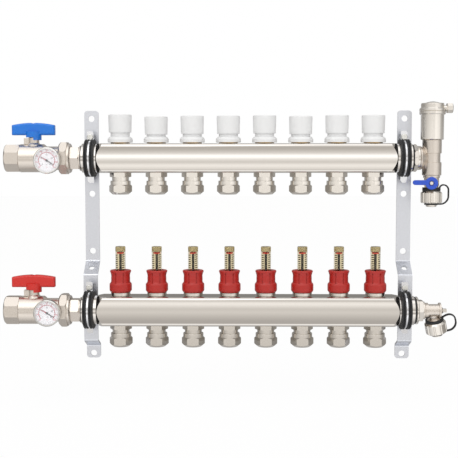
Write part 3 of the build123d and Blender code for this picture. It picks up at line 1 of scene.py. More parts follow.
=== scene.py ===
"""Finishes, printed scales and studio for an eight-loop heating manifold.

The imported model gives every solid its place. This script dresses those solids, adds what is
printed or fitted on them, and sets up a plain studio with the photograph's viewpoint.
"""

import logging
import math
from dataclasses import dataclass, field
from enum import Enum

import bpy
from mathutils import Euler, Matrix, Vector

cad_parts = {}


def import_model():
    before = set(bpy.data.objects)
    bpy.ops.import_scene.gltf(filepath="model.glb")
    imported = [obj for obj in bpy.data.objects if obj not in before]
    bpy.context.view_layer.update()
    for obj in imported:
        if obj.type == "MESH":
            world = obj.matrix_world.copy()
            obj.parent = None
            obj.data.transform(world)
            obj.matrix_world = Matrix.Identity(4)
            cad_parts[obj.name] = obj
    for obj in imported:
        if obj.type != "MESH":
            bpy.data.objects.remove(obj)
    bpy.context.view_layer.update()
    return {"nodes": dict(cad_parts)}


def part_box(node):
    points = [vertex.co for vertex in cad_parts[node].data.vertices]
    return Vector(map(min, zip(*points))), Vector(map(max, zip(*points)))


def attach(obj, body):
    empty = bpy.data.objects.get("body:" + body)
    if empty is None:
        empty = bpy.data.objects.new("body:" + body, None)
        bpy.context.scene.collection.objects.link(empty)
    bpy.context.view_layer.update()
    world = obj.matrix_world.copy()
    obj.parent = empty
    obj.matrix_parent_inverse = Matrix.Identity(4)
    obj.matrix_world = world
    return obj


LOG = logging.getLogger("heating_manifold")
MM = 0.001
LOOPS = 8
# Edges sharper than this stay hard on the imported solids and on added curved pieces.
SOLID_EDGE = math.radians(28)
ADDED_EDGE = math.radians(40)
# Grain of a surface: scale of the noise along a brushed bar, detail and roughness of the noise, depth of
# the relief as a share of the grain, and the noise values between which roughness and tint change.
BRUSHED_SCALE = 0.03
NOISE_DETAIL = 4.0
NOISE_ROUGHNESS = 0.6
RELIEF_SHARE = 0.2
ROUGHNESS_SPAN = (0.3, 0.7)
TINT_SPAN = (0.35, 0.65)
LEAST_ROUGHNESS = 0.02


def linear(hex_colour: str) -> tuple[float, float, float, float]:
    """Turns an sRGB hex colour into linear values.

    Args:
        hex_colour: Colour as "#RRGGBB".

    Returns:
        Linear red, green, blue and an alpha of one.
    """
    channels = []
    for start in (1, 3, 5):
        value = int(hex_colour[start:start + 2], 16) / 255
        channels.append(value / 12.92 if value <= 0.04045 else ((value + 0.055) / 1.055) ** 2.4)
    return (*channels, 1.0)


def add_node(
    tree: bpy.types.NodeTree, kind: str, values: dict | None = None, links: dict | None = None, **settings
) -> bpy.types.Node:
    """Adds one shader node with its settings, fixed values and incoming links.

    Args:
        tree: Node tree that gets the node.
        kind: Blender's name of the node type.
        values: Input name or number to fixed value.
        links: Input name or number to the output that feeds it.
        **settings: Properties of the node itself.

    Returns:
        The new node.
    """
    node = tree.nodes.new(kind)
    for key, value in settings.items():
        setattr(node, key, value)
    for key, value in (values or {}).items():
        node.inputs[key].default_value = value
    for key, source in (links or {}).items():
        tree.links.new(source, node.inputs[key])
    return node


class Making(Enum):
    """How a surface was made, which decides its fine relief."""

    POLISHED = "polished"
    BRUSHED = "brushed along the bar"
    FORGED = "forged and tumbled"
    DIPPED = "dipped in molten zinc"
    MOULDED = "injection moulded"


@dataclass(frozen=True)
class Finish:
    """A surface finish: what it is made of, how it was made and how it looks.

    Attributes:
        name: Common name of the material and how it was made.
        colour: Base colour as sRGB hex.
        roughness: Mean roughness of the surface.
        metallic: One for bare metal, zero for anything else.
        ior: Index of refraction, used only where the surface isn't metal.
        transmission: Share of light that passes into the material.
        coat: Weight of a clear lacquer on top.
        alpha: Share of the surface that is seen at all, below one for a thin clear pane.
        making: How the surface was made.
        grain_mm: Size of the relief in millimetres, drawn as coarse as it needs to show.
        relief: Strength of the relief.
        unevenness: How far the roughness varies over the grain.
        tint_change: How far the colour darkens over the grain.
    """

    name: str
    colour: str
    roughness: float
    metallic: float = 0.0
    ior: float = 1.5
    transmission: float = 0.0
    coat: float = 0.0
    alpha: float = 1.0
    making: Making = Making.POLISHED
    grain_mm: float = 1.0
    relief: float = 0.0
    unevenness: float = 0.0
    tint_change: float = 0.0

    def build(self) -> bpy.types.Material:
        """Builds the material, or returns it if it already exists."""
        if self.name in bpy.data.materials:
            return bpy.data.materials[self.name]
        material = bpy.data.materials.new(self.name)
        material.use_nodes = True
        tree = material.node_tree
        tree.nodes.clear()
        base = linear(self.colour)
        shader = add_node(
            tree,
            "ShaderNodeBsdfPrincipled",
            values={
                "Base Color": base,
                "Roughness": self.roughness,
                "Metallic": self.metallic,
                "Transmission Weight": self.transmission,
                "Coat Weight": self.coat,
                "Alpha": self.alpha,
            },
        )
        if not self.metallic:
            shader.inputs["IOR"].default_value = self.ior
        add_node(tree, "ShaderNodeOutputMaterial", links={"Surface": shader.outputs["BSDF"]})
        if self.making is not Making.POLISHED:
            self._add_grain(tree, shader, base)
        material.diffuse_color = base
        return material

    def _add_grain(self, tree: bpy.types.NodeTree, shader: bpy.types.Node, base: tuple) -> None:
        """Adds the relief and unevenness that the making leaves.

        Args:
            tree: Node tree of the material.
            shader: The main shader node.
            base: Linear base colour.
        """
        stretch = (BRUSHED_SCALE if self.making is Making.BRUSHED else 1.0, 1.0, 1.0)
        place = add_node(tree, "ShaderNodeTexCoord")
        mapping = add_node(
            tree, "ShaderNodeMapping", values={"Scale": stretch}, links={"Vector": place.outputs["Object"]}
        )
        noise = add_node(
            tree,
            "ShaderNodeTexNoise",
            values={
                "Scale": 1 / (self.grain_mm * MM),
                "Detail": NOISE_DETAIL,
                "Roughness": NOISE_ROUGHNESS,
            },
            links={"Vector": mapping.outputs["Vector"]},
        )
        if self.relief:
            bump = add_node(
                tree,
                "ShaderNodeBump",
                values={"Strength": self.relief, "Distance": RELIEF_SHARE * self.grain_mm * MM},
                links={"Height": noise.outputs["Fac"]},
            )
            tree.links.new(bump.outputs["Normal"], shader.inputs["Normal"])
        if self.unevenness:
            spread = add_node(
                tree,
                "ShaderNodeMapRange",
                values={
                    "From Min": ROUGHNESS_SPAN[0],
                    "From Max": ROUGHNESS_SPAN[1],
                    "To Min": max(LEAST_ROUGHNESS, self.roughness - self.unevenness),
                    "To Max": self.roughness + self.unevenness,
                },
                links={"Value": noise.outputs["Fac"]},
            )
            tree.links.new(spread.outputs["Result"], shader.inputs["Roughness"])
        if self.tint_change:
            darker = tuple(channel * (1 - self.tint_change) for channel in base[:3]) + (1.0,)
            ramp = add_node(tree, "ShaderNodeValToRGB", links={"Fac": noise.outputs["Fac"]})
            for element, position, colour in zip(ramp.color_ramp.elements, TINT_SPAN, (darker, base)):
                element.position, element.color = position, colour
            tree.links.new(ramp.outputs["Color"], shader.inputs["Base Color"])


# Stainless tube, ground along its length: soft grey with streaks that follow the bar.
STAINLESS = Finish(
    "Stainless steel, ground", "#D4D0CB", 0.05, metallic=1.0, making=Making.BRUSHED, grain_mm=0.3,
    relief=0.01, unevenness=0.02,
)
# Hot-dip zinc on steel strip: pale blue-grey, dull, with faint clouds.
GALVANISED = Finish(
    "Galvanised steel strip", "#D9DCE3", 0.36, metallic=1.0, making=Making.DIPPED, grain_mm=3.0,
    relief=0.03, unevenness=0.05, tint_change=0.04,
)
# Zinc-plated band: the same metal, thinner and brighter.
PLATED_BAND = Finish("Zinc-plated steel band", "#DCDDE0", 0.18, metallic=1.0)
# Zinc-plated screws: bright silver.
PLATED_SCREW = Finish("Zinc-plated steel screw", "#D8D8D4", 0.20, metallic=1.0)
# Nickel over forged brass: warm light grey, finely grained where it isn't machined.
NICKEL_FORGED = Finish(
    "Nickel-plated brass, forged", "#DAD2C9", 0.31, metallic=1.0, making=Making.FORGED, grain_mm=0.7,
    relief=0.16, unevenness=0.08, tint_change=0.08,
)
# Nickel over turned brass: the same colour with a smoother, brighter face.
NICKEL_TURNED = Finish("Nickel-plated brass, turned", "#DAD5CE", 0.17, metallic=1.0)
# Bare brass of the valve insert, seen as a dark gold line under the white collar.
BARE_BRASS = Finish("Brass, turned", "#A98B55", 0.30, metallic=1.0)
# White ABS caps: matt, nearly neutral.
WHITE_ABS = Finish("ABS, moulded, white", "#E6E7E8", 0.36, making=Making.MOULDED, grain_mm=0.5, relief=0.03)
# Red ABS setting collars: satin with soft highlights.
RED_ABS = Finish("ABS, moulded, red", "#B0211A", 0.36, making=Making.MOULDED, grain_mm=0.5, relief=0.03)
# Lacquered zinc handles: glossy enamel over a die casting.
BLUE_ENAMEL = Finish("Enamel on die-cast zinc, blue", "#0072D6", 0.32, coat=0.12)
RED_ENAMEL = Finish("Enamel on die-cast zinc, red", "#CE2219", 0.32, coat=0.12)
LEVER_ENAMEL = Finish("Enamel on die-cast zinc, royal blue", "#2350C6", 0.32, coat=0.12)
# EPDM rubber: black and dull.
RUBBER = Finish("EPDM rubber, moulded", "#17181A", 0.55, making=Making.MOULDED, grain_mm=0.6, relief=0.05)
# Clear polysulfone of the sight tubes: see-through with a straw tinge.
CLEAR_PSU = Finish("Polysulfone, moulded, clear", "#FBF3DC", 0.04, ior=1.35, transmission=1.0)
# Straw-coloured solid end of the sight tube, where the plastic is thick.
TUBE_END = Finish("Polysulfone, moulded, thick", "#C9BC92", 0.25, ior=1.63)
# Acetal of the flow meter: nearly black rod and red disc.
ROD_ACETAL = Finish("Acetal, moulded, dark", "#1F1C1A", 0.40)
RED_ACETAL = Finish("Acetal, moulded, red", "#E0351F", 0.35)
# Printed marks: brown on the sight tubes, black and red on the dial cards.
BLACK_INK = Finish("Printing ink, black", "#26232B", 0.6)
BROWN_INK = Finish("Printing ink, brown", "#2E271C", 0.6)
RED_INK = Finish("Printing ink, red", "#C4183C", 0.6)
# Dial card: white, matt, faintly blue beside the warm nickel.
DIAL_CARD = Finish("Dial card, printed", "#FAFAFF", 0.7)
# Bright case of the thermometer.
BRIGHT_STEEL = Finish("Stainless steel, polished", "#D6D5D3", 0.12, metallic=1.0)
# Thin pane over the dial, which shows only as a faint gloss.
WINDOW = Finish("Acrylic window", "#FFFFFF", 0.02, ior=1.49, alpha=0.08)
# Dull dark paint of the needle.
NEEDLE_PAINT = Finish("Painted aluminium needle", "#3B3C44", 0.45)


def new_object(
    name: str, vertices: list, faces: list, finish: Finish, body: str, smooth: bool = False
) -> bpy.types.Object:
    """Makes a mesh object from vertices in the row frame and fixes it to a body.

    Args:
        name: Name of the piece.
        vertices: Points in metres.
        faces: Vertex numbers of each face.
        finish: Finish of the whole piece.
        body: Body that the piece rides on.
        smooth: True where the faces are facets of a curved surface.

    Returns:
        The new object.
    """
    mesh = bpy.data.meshes.new(name)
    mesh.from_pydata(vertices, [], faces)
    mesh.validate()
    mesh.update()
    mesh.materials.append(finish.build())
    if smooth:
        mesh.shade_smooth()
        mesh.set_sharp_from_angle(angle=ADDED_EDGE)
    piece = bpy.data.objects.new(name, mesh)
    bpy.context.scene.collection.objects.link(piece)
    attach(piece, body)
    return piece


@dataclass
class Sheetwork:
    """Collects thin printed marks as small closed plates, all in one mesh."""

    vertices: list = field(default_factory=list)
    faces: list = field(default_factory=list)

    def add_plate(self, front: list[Vector], push: Vector) -> None:
        """Adds a closed plate.

        Args:
            front: Corners of the front face, in order.
            push: Step from the front face to the back face.
        """
        start = len(self.vertices)
        count = len(front)
        self.vertices += [tuple(p) for p in front] + [tuple(p + push) for p in front]
        self.faces.append(tuple(start + i for i in range(count)))
        self.faces.append(tuple(start + count + i for i in reversed(range(count))))
        for i in range(count):
            j = (i + 1) % count
            self.faces.append((start + j, start + i, start + count + i, start + count + j))


def revolve_points(outline: list[tuple[float, float]], centre: Vector, steps: int) -> tuple[list, list]:
    """Turns an outline of radius and height round the Z axis.

    Args:
        outline: Radius and height pairs in metres, from the axis and back to it.
        centre: Point on the axis at height zero.
        steps: Number of facets round the axis.

    Returns:
        Vertices and faces.
    """
    vertices, faces = [], []
    for k in range(steps):
        angle = 2 * math.pi * k / steps
        vertices += [
            (centre.x + r * math.cos(angle), centre.y + r * math.sin(angle), centre.z + z) for r, z in outline
        ]
    count = len(outline)
    for k in range(steps):
        here, there = k * count, ((k + 1) % steps) * count
        faces += [(here + i, there + i, there + i + 1, here + i + 1) for i in range(count - 1)]
        faces.append((here + count - 1, there + count - 1, there, here))
    return vertices, faces


def node_centre(name: str) -> Vector:
    """Returns the middle of a node's box, in metres."""
    low, high = (Vector(corner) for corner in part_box(name))
    return (low + high) / 2


def dress(nodes: dict, names: list[str], finish: Finish) -> None:
    """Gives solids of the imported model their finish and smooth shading.

    Args:
        nodes: All node objects by name.
        names: Nodes that get the finish.
        finish: The finish.
    """
    for name in names:
        mesh = nodes[name].data
        mesh.materials.clear()
        mesh.materials.append(finish.build())
        mesh.shade_smooth()
        mesh.set_sharp_from_angle(angle=SOLID_EDGE)


@dataclass
class Framework:
    """Bars, wall brackets and clamps."""

    bars: tuple[str, ...] = ("return_bar", "supply_bar")
    brackets: tuple[str, ...] = ("left_bracket", "right_bracket")

    def build(self, nodes: dict) -> None:
        """Dresses the framework's solids."""
        dress(nodes, list(self.bars), STAINLESS)
        dress(nodes, list(self.brackets), GALVANISED)
        dress(nodes, ["clamp_bands"], PLATED_BAND)
        dress(nodes, ["clamp_screws"], PLATED_SCREW)
        dress(nodes, ["clamp_linings", "end_seals"], RUBBER)


@dataclass
class Branches:
    """Nipples and compression nuts under both bars."""

    def build(self, nodes: dict) -> None:
        """Dresses the nipples and nuts."""
        dress(nodes, ["branch_nipples", "branch_nuts"], NICKEL_TURNED)


@dataclass
class HandKnobs:
    """White knobs on their collars over brass inserts."""

    def build(self, nodes: dict) -> None:
        """Dresses the knobs, collars and inserts."""
        dress(nodes, [f"knob_{i + 1}" for i in range(LOOPS)] + ["cap_bases"], WHITE_ABS)
        dress(nodes, ["valve_inserts"], BARE_BRASS)


@dataclass
class FlowMeters:
    """Sight tubes with a scale, indicator rods and red setting collars.

    Attributes:
        tube_r: Outer radius of the sight tube.
        turn_steps: Facets round the added turned pieces.
        axis_gap: Radius at which a turned outline stops short of the axis.
        mark_pitch: Height between two marks.
        mark_count: Number of marks in each column.
        mark_height: Height of one mark.
        mark_low: Height of the lowest mark over the bar's top.
        mark_angles: Start and end of a mark, in degrees from the front.
        mark_parts: Plates that follow the tube's curve in one mark.
        mark_slant: Rise from each plate of a mark to the next, from left to right.
        mark_lift: Distance of a mark's face from the tube.
        mark_t: Thickness of a mark.
        bar_top: Height of the bar's top over its axis.
        end_low: Height over the bar's top where the solid end starts.
        end_high: Height over the bar's top where the solid end stops.
        end_inset: Distance from the tube's outside to the solid end.
        float_low: Height over the bar's top of the indicator's disc.
        skin_radii: Inner and outer radius of the disc's red skin.
        skin_below: Depth of the skin under the disc's underside.
        skin_rim: Height of the skin's rim over the disc's underside.
        skin_rise: Rise of the skin from its rim to its middle.
    """

    tube_r: float = 6.9 * MM
    turn_steps: int = 32
    axis_gap: float = 0.01 * MM
    mark_pitch: float = 2.9 * MM
    mark_count: int = 8
    mark_height: float = 1.35 * MM
    mark_low: float = 35.6 * MM
    mark_angles: tuple[float, float] = (25.0, 60.0)
    mark_parts: int = 3
    mark_slant: float = 0.25 * MM
    mark_lift: float = 0.03 * MM
    mark_t: float = 0.06 * MM
    bar_top: float = 20.2 * MM
    end_low: float = 61.2 * MM
    end_high: float = 67.0 * MM
    end_inset: float = 0.9 * MM
    float_low: float = 58.4 * MM
    skin_radii: tuple[float, float] = (1.9 * MM, 4.95 * MM)
    skin_below: float = 0.25 * MM
    skin_rim: float = 1.6 * MM
    skin_rise: float = 0.75 * MM

    def build(self, nodes: dict) -> None:
        """Dresses the meters and adds scales and red discs."""
        dress(nodes, ["meter_bodies"], NICKEL_TURNED)
        dress(nodes, ["sight_glasses"], CLEAR_PSU)
        dress(nodes, [f"collar_{i + 1}" for i in range(LOOPS)], RED_ABS)
        dress(nodes, [f"indicator_{i + 1}" for i in range(LOOPS)], ROD_ACETAL)
        for i in range(LOOPS):
            centre = node_centre(f"indicator_{i + 1}")
            centre.z = node_centre("supply_bar").z + self.bar_top
            self._add_scale(i + 1, centre)
            self._add_end(i + 1, centre)
            self._add_disc(i + 1, centre)

    def _add_scale(self, number: int, centre: Vector) -> None:
        """Adds two columns of marks on the tube.

        Args:
            number: Loop number.
            centre: Point on the tube's axis at the bar's top.
        """
        marks = Sheetwork()
        radius = self.tube_r + self.mark_lift
        first, last = self.mark_angles
        span = (last - first) / self.mark_parts
        for row in range(self.mark_count):
            low = self.mark_low + row * self.mark_pitch
            for side in (-1, 1):
                tilt = side * self.mark_slant
                for part in range(self.mark_parts):
                    start = math.radians(first + part * span) * side
                    end = math.radians(first + (part + 1) * span) * side
                    corners = [
                        centre + Vector((radius * math.sin(a), -radius * math.cos(a), low + h + tilt * part))
                        for a, h in ((start, 0), (end, 0), (end, self.mark_height), (start, self.mark_height))
                    ]
                    if side < 0:
                        corners.reverse()
                    marks.add_plate(corners, Vector((0, self.mark_t, 0)))
        new_object(f"flow_scale_{number}", marks.vertices, marks.faces, BROWN_INK, "frame")

    def _add_end(self, number: int, centre: Vector) -> None:
        """Adds the straw-coloured core of the tube's thick end.

        Args:
            number: Loop number.
            centre: Point on the tube's axis at the bar's top.
        """
        radius = self.tube_r - self.end_inset
        outline = [
            (self.axis_gap, self.end_low),
            (radius, self.end_low),
            (radius, self.end_high),
            (self.axis_gap, self.end_high),
        ]
        vertices, faces = revolve_points(outline, centre, self.turn_steps)
        new_object(f"tube_end_{number}", vertices, faces, TUBE_END, "frame", smooth=True)

    def _add_disc(self, number: int, centre: Vector) -> None:
        """Adds the red skin of the indicator's disc.

        Args:
            number: Loop number.
            centre: Point on the rod's axis at the bar's top.
        """
        inner, outer = self.skin_radii
        low, high = self.float_low - self.skin_below, self.float_low + self.skin_rim
        outline = [(inner, low), (outer, low), (outer, high), (inner, high + self.skin_rise)]
        vertices, faces = revolve_points(outline, centre, self.turn_steps)
        new_object(f"red_disc_{number}", vertices, faces, RED_ACETAL, f"indicator_{number}", smooth=True)


@dataclass
class BallValves:
    """Ball valves, unions and T-handles at the left ends."""

    def build(self, nodes: dict) -> None:
        """Dresses the valves."""
        dress(nodes, ["ball_valve_bodies", "union_nuts", "union_tails"], NICKEL_FORGED)
        dress(nodes, ["return_ball", "supply_ball"], NICKEL_TURNED)
        dress(nodes, ["return_handle"], BLUE_ENAMEL)
        dress(nodes, ["supply_handle"], RED_ENAMEL)


@dataclass
class ThermometerShells:
    """Cases and windows of both thermometers."""

    def build(self, nodes: dict) -> None:
        """Dresses the cases and windows."""
        dress(nodes, ["thermometer_cases"], BRIGHT_STEEL)
        dress(nodes, ["thermometer_glasses"], WINDOW)


@dataclass(frozen=True)
class Ticks:
    """One row of ticks beside the printed ring.

    Attributes:
        count: Steps between the lowest and the highest value.
        inner: Radius from the ring where a tick starts, by long and short tick.
        outer: Radius from the ring where a tick ends, by long and short tick.
        half_angle: Half the width of a tick in degrees, by long and short tick.
        long_every: Every how many ticks a long one stands.
    """

    count: int
    inner: tuple[float, float]
    outer: tuple[float, float]
    half_angle: tuple[float, float]
    long_every: int = 4


@dataclass
class Thermometer:
    """One dial thermometer: card, two printed scales and a needle.

    Attributes:
        side: "return" or "supply".
        card_r: Radius of the dial card.
        ring_r: Radius of the printed ring between the two scales.
        start_angle: Angle of the lowest value, in degrees from the right.
        sweep: Angle from the lowest to the highest value, clockwise.
        celsius: Numbers on the inner scale with their share of the sweep.
        fahrenheit: Numbers on the outer scale with their share of the sweep.
        celsius_place: Radius and height of the inner numbers.
        fahrenheit_place: Radius and height of the outer numbers.
        unit_drops: Distance of the two units below the middle.
        unit_size: Height of the units.
        card_gap: Distance from the needle's back to the card's front.
        card_t: Thickness of the card.
        card_sides: Sides of the card's round rim.
        print_gap: Distance from the card's front to the face of ring and ticks.
        print_t: Thickness of ring and ticks.
        ring_t: Width of the ring.
        ring_steps: Plates in the ring.
        red_ticks: Ticks of the outer scale.
        black_ticks: Ticks of the inner scale.
        type_gap: Distance from the card's front to the middle of the type.
        type_half_t: Half the thickness of the type.
        tip_angle: Direction of the pointer at rest, in degrees from the right.
        tip_gap: Distance from the card's front to the face of the pointer's paint.
        tip_t: Thickness of the paint.
        tip_span: Distance from the middle to the start and the end of the paint.
        tip_halves: Half the width of the paint at its start and its end.
    """

    side: str
    card_r: float = 15.8 * MM
    ring_r: float = 10.6 * MM
    start_angle: float = 222.0
    sweep: float = 264.0
    celsius: tuple = (("0", 0.0), ("20", 0.25), ("40", 0.5), ("60", 0.75), ("80", 1.0))
    fahrenheit: tuple = tuple((str(40 + 20 * k), k / 8) for k in range(9))
    celsius_place: tuple[float, float] = (7.5 * MM, 2.9 * MM)
    fahrenheit_place: tuple[float, float] = (14.0 * MM, 2.7 * MM)
    unit_drops: tuple[float, float] = (5.8 * MM, 9.6 * MM)
    unit_size: float = 2.4 * MM
    card_gap: float = 0.26 * MM
    card_t: float = 0.12 * MM
    card_sides: int = 96
    print_gap: float = 0.04 * MM
    print_t: float = 0.03 * MM
    ring_t: float = 0.55 * MM
    ring_steps: int = 66
    red_ticks: Ticks = Ticks(32, (0.3 * MM, 0.3 * MM), (1.9 * MM, 1.4 * MM), (1.3, 1.3))
    black_ticks: Ticks = Ticks(16, (-1.5 * MM, -0.8 * MM), (0.0, 0.0), (1.2, 0.8))
    type_gap: float = 0.03 * MM
    type_half_t: float = 0.015 * MM
    tip_angle: float = 148.0
    tip_gap: float = 0.92 * MM
    tip_t: float = 0.08 * MM
    tip_span: tuple[float, float] = (1.2 * MM, 10.0 * MM)
    tip_halves: tuple[float, float] = (0.62 * MM, 0.06 * MM)

    def build(self, nodes: dict) -> None:
        """Adds the card and its print, and dresses the needle."""
        needle = node_centre(f"{self.side}_needle")
        needle_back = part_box(f"{self.side}_needle")[1][1]
        centre = Vector((needle.x, needle_back + self.card_gap, needle.z))
        self._add_card(centre)
        self._add_ticks(centre)
        self._add_numbers(centre, self.celsius, self.celsius_place, BLACK_INK, "celsius")
        self._add_numbers(centre, self.fahrenheit, self.fahrenheit_place, RED_INK, "fahrenheit")
        celsius_drop, fahrenheit_drop = self.unit_drops
        self._add_text(centre, "°C", (0.0, -celsius_drop), self.unit_size, BLACK_INK, "unit_celsius")
        self._add_text(centre, "°F", (0.0, -fahrenheit_drop), self.unit_size, RED_INK, "unit_fahrenheit")
        dress(nodes, [f"{self.side}_needle"], NEEDLE_PAINT)
        self._add_tip(centre)

    def _angle(self, share: float) -> float:
        """Returns the angle in radians at a share of the sweep."""
        return math.radians(self.start_angle - self.sweep * share)

    def _add_card(self, centre: Vector) -> None:
        """Adds the white card."""
        card = Sheetwork()
        rim = [
            centre + Vector((self.card_r * math.cos(a), 0, self.card_r * math.sin(a)))
            for a in (2 * math.pi * k / self.card_sides for k in range(self.card_sides))
        ]
        card.add_plate(rim, Vector((0, self.card_t, 0)))
        new_object(f"{self.side}_dial_card", card.vertices, card.faces, DIAL_CARD, "frame")

    def _add_ticks(self, centre: Vector) -> None:
        """Adds the red ring and the red and black ticks beside it."""
        front = centre + Vector((0, -self.print_gap, 0))
        push = Vector((0, self.print_t, 0))
        red, black = Sheetwork(), Sheetwork()

        def arc_plate(sheet: Sheetwork, inner: float, outer: float, start: float, end: float) -> None:
            """Adds one plate between two radii and two angles."""
            corners = [(inner, start), (outer, start), (outer, end), (inner, end)]
            sheet.add_plate(
                [front + Vector((r * math.cos(a), 0, r * math.sin(a))) for r, a in corners], push
            )

        for k in range(self.ring_steps):
            start, end = self._angle(k / self.ring_steps), self._angle((k + 1) / self.ring_steps)
            arc_plate(red, self.ring_r, self.ring_r + self.ring_t, start, end)
        for sheet, ticks in ((red, self.red_ticks), (black, self.black_ticks)):
            for k in range(ticks.count + 1):
                size = 0 if k % ticks.long_every == 0 else 1
                angle, half = self._angle(k / ticks.count), math.radians(ticks.half_angle[size])
                inner, outer = self.ring_r + ticks.inner[size], self.ring_r + ticks.outer[size]
                arc_plate(sheet, inner, outer, angle + half, angle - half)
        new_object(f"{self.side}_dial_red_ticks", red.vertices, red.faces, RED_INK, "frame")
        new_object(f"{self.side}_dial_black_ticks", black.vertices, black.faces, BLACK_INK, "frame")

    def _add_numbers(
        self, centre: Vector, numbers: tuple, place: tuple[float, float], finish: Finish, name: str
    ) -> None:
        """Adds the numbers of one scale.

        Args:
            centre: Middle of the dial's front.
            numbers: Texts with their share of the sweep.
            place: Distance of the numbers from the middle and height of the type.
            finish: Ink of the numbers.
            name: Name of the scale.
        """
        radius, size = place
        for text, share in numbers:
            angle = self._angle(share)
            spot = (radius * math.cos(angle), radius * math.sin(angle))
            self._add_text(centre, text, spot, size, finish, f"{name}_{text}")

    def _add_text(
        self, centre: Vector, text: str, place: tuple[float, float], size: float, finish: Finish, name: str
    ) -> None:
        """Adds one printed text as a mesh.

        Args:
            centre: Middle of the dial's front.
            text: What it says.
            place: Steps right and up from the middle.
            size: Height of the type.
            finish: Ink of the text.
            name: Name of the piece after the thermometer's side.
        """
        curve = bpy.data.curves.new(f"{self.side}_{name}_type", "FONT")
        curve.body = text
        curve.size = size
        curve.align_x = "CENTER"
        curve.align_y = "CENTER"
        curve.extrude = self.type_half_t
        curve.resolution_u = 3
        source = bpy.data.objects.new(curve.name, curve)
        bpy.context.scene.collection.objects.link(source)
        bpy.context.view_layer.update()
        mesh = bpy.data.meshes.new_from_object(source.evaluated_get(bpy.context.evaluated_depsgraph_get()))
        bpy.data.objects.remove(source)
        upright = Euler((math.radians(90), 0, 0)).to_matrix().to_4x4()
        mesh.transform(Matrix.Translation(centre + Vector((place[0], -self.type_gap, place[1]))) @ upright)
        mesh.materials.clear()
        mesh.materials.append(finish.build())
        piece = bpy.data.objects.new(f"{self.side}_{name}", mesh)
        bpy.context.scene.collection.objects.link(piece)
        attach(piece, "frame")

    def _add_tip(self, centre: Vector) -> None:
        """Adds the red half of the needle on the side of the pointer."""
        angle = math.radians(self.tip_angle)
        way = Vector((math.cos(angle), 0, math.sin(angle)))
        across = Vector((-math.sin(angle), 0, math.cos(angle)))
        front = centre + Vector((0, -self.tip_gap, 0))
        start, end = (front + way * reach for reach in self.tip_span)
        wide, narrow = (across * half for half in self.tip_halves)
        tip = Sheetwork()
        tip.add_plate([start + wide, start - wide, end - narrow, end + narrow], Vector((0, self.tip_t, 0)))
        new_object(f"{self.side}_needle_tip", tip.vertices, tip.faces, RED_INK, f"{self.side}_needle")


@dataclass
class EndFittings:
    """Tee, air vent, drain valve and fill valve at the right ends."""

    def build(self, nodes: dict) -> None:
        """Dresses the end fittings."""
        dress(nodes, ["tee_body", "hose_valve_bodies"], NICKEL_FORGED)
        dress(nodes, ["end_bushings", "air_vent", "vent_screw_cap"], NICKEL_TURNED)
        dress(nodes, ["drain_spindle", "drain_ball", "upper_drain_cap", "lower_drain_cap"], NICKEL_TURNED)
        dress(nodes, ["drain_lever"], LEVER_ENAMEL)
        dress(nodes, ["drain_straps"], RUBBER)


# Colours of the room in the metal's reflections, from straight down (0) to straight up (1). The narrow
# bands are what the bars' nearly flat front faces mirror: round 0.5 the upper bar's, round 0.42 the
# lower bar's.
ROOM_BANDS = (
    (0.0, "#E0DFDE"), (0.26, "#F2F1F0"), (0.33, "#C4C1BE"), (0.35, "#A3A09D"), (0.378, "#A3A09D"),
    (0.40, "#B5B2AE"), (0.42, "#C6C3BF"), (0.437, "#BDBAB6"), (0.463, "#E6E4E1"), (0.48, "#BFBCB8"),
    (0.495, "#D8D6D3"), (0.505, "#FBFBFA"), (0.512, "#FFFFFF"), (0.524, "#CDCAC7"), (0.545, "#A9A6A2"),
    (0.62, "#ACA9A5"), (0.74, "#D8D6D3"), (0.87, "#F4F3F2"),
)


@dataclass(frozen=True)
class Softbox:
    """One lamp that looks at the middle of the manifold.

    Attributes:
        name: Name of the lamp.
        place: Position in metres.
        size: Width and height in metres.
        watts: Power.
    """

    name: str
    place: tuple[float, float, float]
    size: tuple[float, float]
    watts: float

    def build(self) -> None:
        """Adds the lamp."""
        lamp = bpy.data.lights.new(self.name, "AREA")
        lamp.shape = "RECTANGLE"
        lamp.size, lamp.size_y = self.size
        lamp.energy = self.watts
        holder = bpy.data.objects.new(self.name, lamp)
        holder.location = self.place
        holder.rotation_euler = (Vector((0, 0, 0)) - Vector(self.place)).to_track_quat("-Z", "Y").to_euler()
        bpy.context.scene.collection.objects.link(holder)


